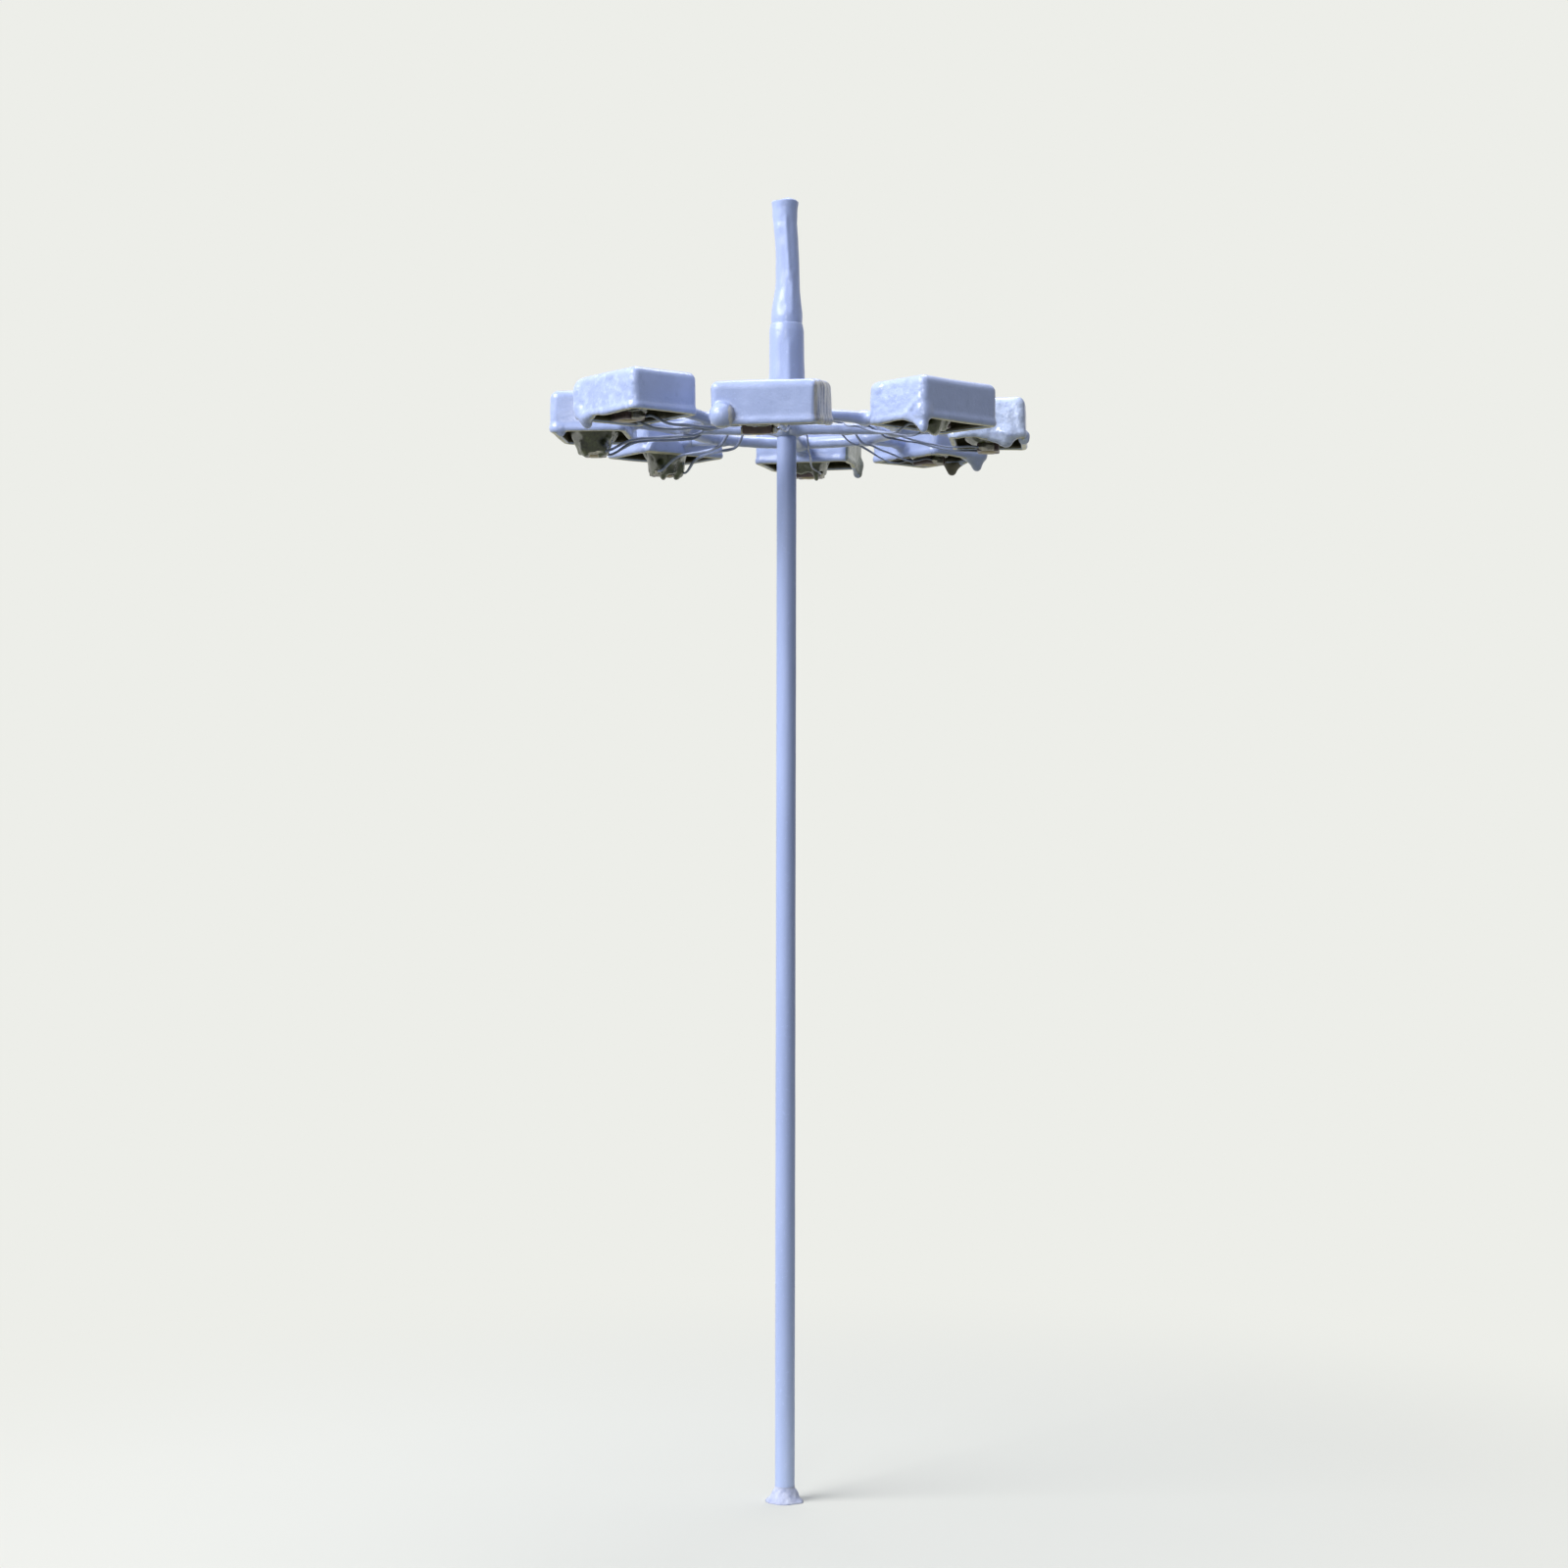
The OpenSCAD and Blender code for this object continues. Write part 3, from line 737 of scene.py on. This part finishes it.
# Turned pieces: the mast, its collar, the cover and the finial
MAST_TURNS, COLLAR_TURNS, COVER_TURNS, FINIAL_TURNS = 40, 44, 48, 48
MAST_WAVES = (0.02, (3, 3, 18), 71), (0.008, (1.2, 1.2, 5), 72)
COLLAR_WAVES = (0.22, 1.3, 81), (0.1, 0.5, 82)
COVER_WAVES = (0.05, (2, 2, 6), 91), (0.02, (0.8, 0.8, 2), 92)
FINIAL_WAVES = (0.07, (1.4, 1.4, 4), 101), (0.03, (0.6, 0.6, 1.4), 102)

# Runs of paint: how far each stands out, its angle from the front, its width in
# degrees, and the heights of its ends. The finial's heights are above the cover.
COVER_RUNS = (0.12, 8, 9, 140, 148), (0.08, -35, 12, 142, 149)
FINIAL_RUNS = (
    (0.16, 4, 9, 5, 14),
    (0.1, -40, 14, 4, 13),
    (0.14, 20, 9, 0.6, 7),
    (-0.1, -18, 16, 0.8, 3),
)

COVER_WALL = 0.3

mast_low, mast_high = node_box("mast_tube")
collar_high = node_box("foot_collar")[1]
cover_low, cover_high = node_box("wiring_cover")
finial_high = node_box("finial")[1]
finial_foot_r = finial_high[0]
finial_l = finial_high[2] - cover_high[2]


def outline(node, low_z=-math.inf):
    """Heights and outer radii of a turned CAD node."""
    p = node_points(node)
    p = p[p[:, 2] > low_z]
    z = np.round(p[:, 2], 2)
    levels = np.unique(z)
    radius = np.array([np.hypot(p[z == level, 0], p[z == level, 1]).max() for level in levels])
    return levels, radius


def ring_faces(rings, sides):
    """Quads between rings of points that follow each other."""
    faces = []
    for k in range(rings - 1):
        a, b = k * sides, (k + 1) * sides
        for n in range(sides):
            m = (n + 1) % sides
            faces.append((a + n, a + m, b + m, b + n))
    return faces


def lathe(z, r, turns, shape, close=True):
    """A turned mesh whose rings a function places from angle, height and radius."""
    angle = np.arange(turns) * 2 * math.pi / turns
    a, height = np.meshgrid(angle, z)
    radius = np.repeat(np.asarray(r)[:, None], turns, 1)
    points = shape(a, height, radius).reshape(-1, 3)
    faces = ring_faces(len(z), turns)
    if close:
        faces.append(tuple(range((len(z) - 1) * turns, len(z) * turns)))
    return points, faces


def polar(angle, height, radius):
    """Points from the angle round the mast, which starts at the front."""
    return np.stack([radius * np.sin(angle), -radius * np.cos(angle), height], -1)


def bulge(value, centre, width):
    return np.exp(-(((value - centre) / width) ** 2))


def runs_of_paint(angle, height, runs):
    """Vertical runs of paint, each faded in and out along its height."""
    total = 0
    for out, turn, width, low, high in runs:
        fade = smooth_step(low, low + 1, height) * (1 - smooth_step(high - 1, high, height))
        gap = np.angle(np.exp(1j * (angle - math.radians(turn))))
        total += out * (bulge(gap, 0, math.radians(width)) * fade)
    return total


def mast_shape(angle, height, radius):
    wave = uneven(polar(angle, height, radius), *MAST_WAVES)
    painted = smooth_step(0.2, 1.5, height)
    return polar(angle, height, radius + painted * wave)


def make_mast():
    cad = node_points("mast_tube")
    reach = np.hypot(cad[:, 0], cad[:, 1])
    spigot_r = reach[cad[:, 2] < -1].max()
    bore_r = reach.min()
    low, top = mast_low[2], mast_high[2]
    shaft = np.append(np.arange(1, top - 0.5, 1), top)
    z = np.concatenate([[low, low, 0, 0], shaft, [top, low]])
    r = np.full(len(z), mast_r)
    r[:3] = bore_r, spigot_r, spigot_r
    r[-2:] = bore_r
    points, faces = lathe(z, r, MAST_TURNS, mast_shape, close=False)
    middle = np.array([points[list(f)].mean(0) for f in faces])
    is_bare = (middle[:, 2] < 0) | (np.hypot(middle[:, 0], middle[:, 1]) < mast_r - 0.2)
    piece = make_piece("painted_mast", points, faces, [satin_paint, brass], is_bare.astype(int))
    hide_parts("mast_tube")


def collar_shape(angle, height, radius):
    rough = uneven(polar(angle, height, radius), *COLLAR_WAVES)
    fade = smooth_step(collar_high[2], collar_high[2] - 0.6, height)
    return polar(angle, height, radius + rough * fade)


def make_collar():
    t = np.linspace(0, 1, 14)
    foot, top = collar_high[0], mast_r + 0.02
    z = np.concatenate([[0, 0], t * (collar_high[2] + 0.2)])
    r = np.concatenate([[mast_r, foot * 0.9], foot + (top - foot) * (1 - (1 - t) ** 2.2)])
    points, faces = lathe(z, r, COLLAR_TURNS, collar_shape, close=False)
    piece = make_piece("painted_collar", points, faces, [crust])
    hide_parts("foot_collar")


def cover_shape(angle, height, radius):
    wave = uneven(polar(angle, height, radius), *COVER_WAVES)
    runs = runs_of_paint(angle, height, COVER_RUNS)
    outer = smooth_step(finial_foot_r - 0.1, finial_foot_r + 0.05, radius)
    return polar(angle, height, radius + outer * (wave + runs))


def make_cover():
    low, high = cover_low[2], cover_high[2]
    levels = np.concatenate([[low], np.linspace(low + 0.1, high - 0.1, 40), [high]])
    radius = np.interp(levels, *outline("wiring_cover"))
    radius[[0, -1]] -= 0.08

    # Up the outside from the skirt's inner edge, over the lip and down the inside
    lip, skirt = finial_foot_r - 0.25, radius[0] - COVER_WALL
    inner_levels = [high + 0.12, high - COVER_WALL, low + 4.5, low]
    inner_radius = [lip, lip, radius[-1] - 0.2, skirt]
    levels = np.concatenate([[low], levels, inner_levels])
    radius = np.concatenate([[skirt], radius, inner_radius])
    points, faces = lathe(levels, radius, COVER_TURNS, cover_shape, close=False)
    piece = make_piece("painted_cover", points, faces, [streaked_paint])
    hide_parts("wiring_cover")


def finial_shape(angle, height, radius):
    rise = height - cover_high[2]
    wave = uneven(polar(angle, height, radius), *FINIAL_WAVES) * smooth_step(0, 0.6, rise)
    runs = runs_of_paint(angle, rise, FINIAL_RUNS)

    # A lip of paint at the top, with a hollow below it
    flare = 0.1 * smooth_step(finial_l - 1.1, finial_l - 0.1, rise)
    flare = flare - 0.07 * bulge(rise, finial_l - 1.7, 1)
    p = polar(angle, height, radius + np.minimum(radius, 1) * (wave + runs + flare))

    # The rod bows to the right at the waist and leans to the left above it
    p[..., 0] += 0.17 * bulge(rise, 5.6, 3) - 0.25 * smooth_step(7.5, 14.5, rise)

    # The top peaks near its front edge
    peak = np.clip(1 - np.hypot(p[..., 0] - 0.1, p[..., 1] + 0.6) / 1.6, 0, 1)
    p[..., 2] += smooth_step(finial_l - 0.15, finial_l, rise) * (0.6 * peak - 0.2)
    return p


def make_finial():
    low, top = cover_high[2], finial_high[2]
    foot = low - 0.15
    levels = np.concatenate(
        [[foot, foot], np.linspace(low, top - 0.4, 64), np.linspace(top - 0.35, top, 6)]
    )
    radius = np.interp(np.minimum(levels, top - 0.5), *outline("finial", low + 0.05))
    radius -= 0.08 * bulge(levels, foot, 0.7)
    radius[0] -= 0.5
    radius[-2:] -= np.array([0.02, 0.1])
    cap = np.linspace(1, 0.04, 12)[1:] * radius[-1]
    levels = np.append(levels, np.full(len(cap), top))
    points, faces = lathe(levels, np.append(radius, cap), FINIAL_TURNS, finial_shape)
    piece = make_piece("painted_finial", points, faces, [streaked_paint])
    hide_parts("finial")


make_mast()
make_collar()
make_cover()
make_finial()


# LEDs, their windows and contacts, and the resin that holds them. Heights here
# are measured from the LED's underside.
LED_W, LED_D, LED_H = 3.5, 2.8, 1.9
WINDOW_R = 1.15

# Contacts: distance from the middle, half length and height
CONTACT_X, CONTACT_HALF, CONTACT_H = 1.9, 0.8, 0.9

# Resin: the height down to which it runs, the radii of its neck, and the half
# width and half depth of the part that clasps the LED
RESIN_END_USUAL = 0.9
RESIN_END = {5: 0.5, 6: 0.15, 7: 0.1}
RESIN_ROOT_R, RESIN_TIP_R = 3.1, 1.9
CLASP_W, CLASP_D = 2.1, 1.7

# Drips of resin round an LED: root and tip, each as across, outward, up and radius
RESIN_DRIPS = {
    2: [
        ((-1.2, 1.7, 1.4, 1.2), (-1.3, 1.5, -0.45, 0.85)),
        ((-2.2, 0.6, 1.6, 1.1), (-2.5, 0.9, -0.1, 0.8)),
        ((0.4, 1.6, 1.4, 1.0), (0.1, 1.6, 0.15, 0.7)),
    ],
    5: [((-1.4, -1.4, 1.2, 0.7), (-1.5, -1.5, -0.2, 0.35))],
    6: [
        ((-1.4, -1.1, 1.2, 0.8), (-1.1, -1.2, -0.05, 0.4)),
        ((1.5, -1.0, 1.2, 0.7), (1.1, -1.1, -0.2, 0.4)),
    ],
    7: [
        ((1.5, 0.9, 1.2, 0.8), (1.4, 0.8, 0, 0.4)),
        ((1.5, -1.0, 1.2, 0.7), (1.4, -0.9, -0.15, 0.4)),
    ],
}


def led_piece(name, head, values, low, step, material, node):
    """The skin of a field that is measured from the LED's underside."""
    points, quads = skin(values, low, step)
    piece = make_piece(name, head.place(points + head.led), quads, [material])
    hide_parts(node)


def make_led(head):
    low, high = np.array([-2.1, -1.8, -0.3]), np.array([2.1, 1.8, LED_H + 0.3])
    p = sample_grid(low, high, LED_STEP)
    case = box_field(p, (-LED_W / 2, -LED_D / 2, 0), (LED_W / 2, LED_D / 2, LED_H), 0.18)
    dish = lump_field(p, (0, 0, 0), (WINDOW_R, WINDOW_R, 0.35))
    values = smooth_max(case, -dish, 0.08)
    name, node = f"shaded_led_case_{head.number}", f"led_body_{head.number}"
    led_piece(name, head, values, low, LED_STEP, shaded_led_case, node)


def make_resin(head):
    number = head.number
    end = RESIN_END.get(number, RESIN_END_USUAL)
    roof = HEAD_H - HEAD_ROOF - head.led[2]
    drips = RESIN_DRIPS.get(number, [])
    lowest = min([end] + [tip[2] - tip[3] for root, tip in drips])
    low, high = np.array([-4.0, -3.8, lowest - 0.6]), np.array([4.0, 3.8, roof + 0.1])
    p = sample_grid(low, high, ROD_STEP)

    # A neck from the roof, a skirt above the rim and a clasp round the LED
    neck = rod_field(p, (0, 0, roof), (0, 0, LED_H * 0.6), RESIN_ROOT_R, RESIN_TIP_R)
    skirt_top = (0, 0, max(LED_H, 0.8 - head.led[2]))
    skirt = rod_field(p, skirt_top, (0, 0, 0.6), RESIN_ROOT_R, RESIN_TIP_R)
    clasp = box_field(p, (-CLASP_W, -CLASP_D, end), (CLASP_W, CLASP_D, LED_H + 0.6), 0.6)
    blob = smooth_min(smooth_min(neck, skirt, 0.3), clasp, 0.6)
    blob = smooth_max(smooth_max(blob, end - p[..., 2], 0.3), p[..., 2] - roof, 0.1)
    for root, tip in drips:
        blob = smooth_min(blob, drip_field(p, root, tip), 0.5)
    near = np.abs(blob) < 0.8
    lumps = (0.2, (0.9, 0.9, 2.6), SEED_RESIN + number)
    grain = (0.12, 0.7, SEED_RESIN_GRAIN + number)
    blob[near] += uneven(p[near], lumps, grain)
    led_piece(f"resin_{number}", head, blob, low, ROD_STEP, resin, f"led_resin_{number}")


def make_small_parts(name, field, low, high, material, node):
    """One field repeated at every LED, as a single piece."""
    low, high = np.array(low), np.array(high)
    points, quads = skin(field(sample_grid(low, high, LED_STEP)), low, LED_STEP)
    placed = np.concatenate([head.place(points + head.led) for head in heads.values()])
    faces = np.concatenate([quads + k * len(points) for k in range(len(heads))])
    piece = make_piece(name, placed, faces, [material])
    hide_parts(node)


def window_field(p):
    return lump_field(p, (0, 0, 0.12), (WINDOW_R, WINDOW_R, 0.26))


def contact_field(p):
    """Two contacts, each with a bead of solder where its lead ends."""
    q = np.stack([np.abs(p[..., 0]), p[..., 1], p[..., 2]], -1)
    low, high = (CONTACT_X - 0.15, -CONTACT_HALF, 0), (CONTACT_X + 0.15, CONTACT_HALF, CONTACT_H)
    strip = box_field(q, low, high, 0.08)
    bead = lump_field(q, (CONTACT_X, -CONTACT_HALF, CONTACT_H / 2), (0.3, 0.45, 0.34))
    return smooth_min(strip, bead, 0.15)


for head in heads.values():
    make_led(head)
    make_resin(head)
make_small_parts(
    "led_phosphor",
    window_field,
    (-1.4, -1.4, -0.4),
    (1.4, 1.4, 0.6),
    phosphor,
    "led_windows",
)
make_small_parts(
    "led_solder_contacts",
    contact_field,
    (-2.5, -1.6, -0.3),
    (2.5, 1.2, 1.2),
    tinned,
    "led_contacts",
)


# Lead wires: smooth tubes with paint on them, from the cover to each LED
LEAD_R = 0.12
LEAD_D = 2 * LEAD_R

# Distance of a lead from the middle of its arm, the turn of its seat on a ring,
# and the radius of the seats on the feed ring
LEAD_GAP = 1.18
SEAT_TURN = math.radians(360 / len(HEADS) / 4)
FEED_SEAT_R = 1.72

# Leads that are thick with paint, and how much thicker than the bare wire
LEAD_COAT = {6: 1.5, 7: 1.6, 8: 1.7}

# Facets round a lead, and steps between two points of its route
TUBE_SIDES = 10
SPAN_STEPS = 6

feed_low = node_box("feed_ring")[0]
return_low, return_high = node_box("return_ring")


def smooth_route(route):
    """A curve through every point of a route."""
    route = np.asarray(route, float)
    padded = np.concatenate([[2 * route[0] - route[1]], route, [2 * route[-1] - route[-2]]])
    t = np.linspace(0, 1, SPAN_STEPS, endpoint=False)[:, None]
    spans = []
    for a, b, c, d in zip(padded, padded[1:], padded[2:], padded[3:]):
        square = 2 * a - 5 * b + 4 * c - d
        cube = 3 * b - a - 3 * c + d
        spans.append(0.5 * (2 * b + (c - a) * t + square * t**2 + cube * t**3))
    return np.concatenate(spans + [route[-1:]])


def tube(path, radius):
    """A closed tube along a path, with a radius for each of its points."""
    tangent = np.gradient(path, axis=0)
    tangent /= np.linalg.norm(tangent, axis=1, keepdims=True)
    side = np.cross(tangent[0], [0.3, 0.8, 0.5])
    angle = np.arange(TUBE_SIDES) * 2 * math.pi / TUBE_SIDES
    points = []
    for here, along, r in zip(path, tangent, radius):
        side = side - (side @ along) * along
        side = side / np.linalg.norm(side)
        up = np.cross(along, side)
        points.append(here + r * (np.cos(angle)[:, None] * side + np.sin(angle)[:, None] * up))
    faces = ring_faces(len(path), TUBE_SIDES)
    last = (len(path) - 1) * TUBE_SIDES
    faces.append(tuple(range(TUBE_SIDES - 1, -1, -1)))
    faces.append(tuple(range(last, last + TUBE_SIDES)))
    return np.concatenate(points), faces


def lead_route(head, side):
    """The CAD's route: out of the cover, beside the arm, under the hoop and to the LED."""
    if side > 0:
        seat_r, seat_z = FEED_SEAT_R, feed_low[2]
    else:
        seat_r, seat_z = return_high[0] - 0.1, return_low[2]
    along = head.arm
    across = np.array([-along[1], along[0], 0])

    def beside(offset, reach, z):
        return along * reach + across * offset + [0, 0, z]

    def at_led(out, up):
        contact = [side * CONTACT_X, -CONTACT_HALF - out, CONTACT_H / 2 + up]
        return head.place(head.led + contact)

    seat = side * seat_r * math.sin(SEAT_TURN), seat_r * math.cos(SEAT_TURN)
    reach = hoop_reach(along)
    level, under = hoop_centre[2], hoop_low[2] - LEAD_D
    skirt_r, skirt_z = cover_high[0], cover_low[2]
    return [
        beside(seat[0], seat[1], seat_z),
        beside(seat[0], seat[1], skirt_z),
        beside(seat[0] + 0.15 * side, skirt_r + 0.4, skirt_z - 0.9),
        beside(0.6 * side * LEAD_GAP, 0.4 * reach, level + 0.5 * (skirt_z - level)),
        beside(0.9 * side * LEAD_GAP, 0.7 * reach, level + hoop_rod + 2 * LEAD_D),
        beside(side * LEAD_GAP, reach - hoop_rod - 1, under + 0.4),
        beside(side * LEAD_GAP, reach, under),
        beside(side * LEAD_GAP, reach + hoop_rod + 1.2, (under + head.centre[2] - LEAD_D) / 2),
        head.place((0.8 * (head.led[0] + side * CONTACT_X), -HEAD_D / 2 - 0.4, -0.5)),
        at_led(1.5, 0.1),
        at_led(0.6, 0),
        at_led(0, 0),
    ]


def make_leads(head):
    points, faces = [], []
    for side in (-1, 1):
        path = smooth_route(lead_route(head, side))
        place = 2 * head.number + side

        # Bends and paint fade out towards both ends
        free = np.sin(np.linspace(0, math.pi, len(path)))[:, None] ** 2
        wobble = [lattice_noise(path, 3.5, SEED_WOBBLE + 20 * k + place) for k in range(3)]
        path = path + 0.35 * free * np.stack(wobble, -1)
        swell = lattice_noise(path, 2.2, SEED_SWELL + place)
        coat = 1 + (LEAD_COAT.get(head.number, 1) - 1) * np.sqrt(free[:, 0])
        some, ring = tube(path, LEAD_R * coat * (1 + 0.5 * np.maximum(swell, 0)))
        base = sum(len(q) for q in points)
        points.append(some)
        faces += [tuple(base + n for n in face) for face in ring]
    piece = make_piece(f"leads_{head.number}", np.concatenate(points), faces, [wire_enamel])
    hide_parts(f"lead_pair_{head.number}")


for head in heads.values():
    make_leads(head)


# CAD nodes that keep their shape
KEPT = {
    "insulating_bush": bush_plastic,
    "feed_ring": copper,
    "return_ring": solder,
    "feed_wire": copper,
}
for node, material in KEPT.items():
    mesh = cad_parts[node].data
    mesh.materials.clear()
    mesh.materials.append(material)


# Stage, light and camera. The floor and the backdrop look pale, but throw back
# light as the photographed ground and sky do.
BACKDROP = srgb(237, 238, 233)
FLOOR_SEEN = srgb(203, 203, 197)
PATCH = srgb(216, 212, 182)
BOUNCE = srgb(102, 104, 88)
SKY_LEFT = (0.48, 0.525, 0.625, 1)
SKY_RIGHT = (0.17, 0.187, 0.225, 1)

# Floor: its rings, and the distances from the foot over which the pale patch
# gives way to dimmer ground, and the floor to the backdrop
FLOOR_RINGS = (3000, 700, 300, 120, 30)
FLOOR_TURNS = 96
PATCH_FADE = (20, 70)
FLOOR_FADE = (20, 160)

# Lamps: place, diameter and power in watts. All of them look at one point.
LAMPS = {
    "key": ((-490, -245, 530), 440, 5.5),
    "fill": ((-430, -540, 420), 260, 1.17),
    "top": ((60, 120, 520), 300, 1.1),
    "strip": ((-70, -560, 220), 110, 0.3),
}
LAMP_TARGET = (0, 0, 120)


def seen_or_lit(tree, seen, lit):
    """One colour for camera, glossy and transmission rays, and another for rays that light."""
    path = tree.nodes.new("ShaderNodeLightPath")
    direct = path.outputs["Is Camera Ray"]
    for name in ("Is Glossy Ray", "Is Transmission Ray"):
        either = tree.nodes.new("ShaderNodeMath")
        either.operation = "MAXIMUM"
        tree.links.new(direct, either.inputs[0])
        tree.links.new(path.outputs[name], either.inputs[1])
        direct = either.outputs[0]
    return mix_colours(tree, direct, lit, seen)


def floor_material():
    """Pale ground that fades into the backdrop away from the foot."""
    material = bpy.data.materials.new("pale_floor")
    material.use_nodes = True
    tree = material.node_tree
    nodes, links = tree.nodes, tree.links
    nodes.clear()
    near = nodes.new("ShaderNodeBsdfDiffuse")
    far = nodes.new("ShaderNodeEmission")
    distance = nodes.new("ShaderNodeVectorMath")
    distance.operation = "LENGTH"
    links.new(nodes.new("ShaderNodeTexCoord").outputs["Object"], distance.inputs[0])

    def fade(start, end):
        """0 up to one distance from the foot, 1 beyond the other."""
        step = nodes.new("ShaderNodeMapRange")
        step.interpolation_type = "SMOOTHSTEP"
        step.inputs["From Min"].default_value = start * MM
        step.inputs["From Max"].default_value = end * MM
        links.new(distance.outputs["Value"], step.inputs["Value"])
        return step.outputs["Result"]

    ground = mix_colours(tree, fade(*PATCH_FADE), PATCH, BOUNCE)
    links.new(seen_or_lit(tree, FLOOR_SEEN, ground), near.inputs["Color"])
    links.new(seen_or_lit(tree, BACKDROP, BOUNCE), far.inputs["Color"])
    blend = nodes.new("ShaderNodeMixShader")
    links.new(fade(*FLOOR_FADE), blend.inputs[0])
    links.new(near.outputs[0], blend.inputs[1])
    links.new(far.outputs[0], blend.inputs[2])
    links.new(blend.outputs[0], nodes.new("ShaderNodeOutputMaterial").inputs["Surface"])
    return material


def make_floor():
    points, faces = lathe(np.zeros(len(FLOOR_RINGS)), FLOOR_RINGS, FLOOR_TURNS, polar)
    mesh = bpy.data.meshes.new("floor")
    mesh.from_pydata((points * MM).tolist(), [], faces)
    mesh.materials.append(floor_material())
    floor = bpy.data.objects.new("floor", mesh)
    bpy.context.collection.objects.link(floor)


def make_world():
    """A sky that lights more from the left than from the right."""
    world = bpy.data.worlds.new("studio")
    bpy.context.scene.world = world
    world.use_nodes = True
    tree = world.node_tree
    split = tree.nodes.new("ShaderNodeSeparateXYZ")
    tree.links.new(tree.nodes.new("ShaderNodeTexCoord").outputs["Generated"], split.inputs[0])
    side = tree.nodes.new("ShaderNodeMapRange")
    side.inputs["From Min"].default_value = -1
    tree.links.new(split.outputs["X"], side.inputs["Value"])
    sky = mix_colours(tree, side.outputs["Result"], SKY_LEFT, SKY_RIGHT)
    background = tree.nodes["Background"]
    tree.links.new(seen_or_lit(tree, BACKDROP, sky), background.inputs["Color"])


def aim_rotation(aim):
    """Rotation that turns a lamp's -Z towards a direction."""
    length = float(np.linalg.norm(aim))
    tilt = math.acos(max(-1, min(1, -aim[2] / length)))
    return (tilt, 0, math.atan2(aim[1], aim[0]) - math.pi / 2)


def make_lamp(name, place, size, power):
    data = bpy.data.lights.new(name, "AREA")
    data.shape = "DISK"
    data.size = size * MM
    data.energy = power
    lamp = bpy.data.objects.new(name, data)
    lamp.location = np.array(place) * MM
    lamp.rotation_euler = aim_rotation((np.array(LAMP_TARGET) - np.array(place)) * MM)
    bpy.context.collection.objects.link(lamp)


def make_camera():
    data = bpy.data.cameras.new("camera")
    data.lens = CAMERA_LENS
    data.sensor_width = CAMERA_SENSOR
    data.clip_start, data.clip_end = CAMERA_CLIP
    camera = bpy.data.objects.new("camera", data)
    camera.location = [c * MM for c in CAMERA_PLACE]
    camera.rotation_euler = (math.radians(90 + CAMERA_PITCH), math.radians(CAMERA_ROLL), 0)
    bpy.context.collection.objects.link(camera)
    bpy.context.scene.camera = camera


make_camera()
make_floor()
make_world()
for name, lamp in LAMPS.items():
    make_lamp(name, *lamp)
bpy.context.scene.view_settings.view_transform = "Standard"
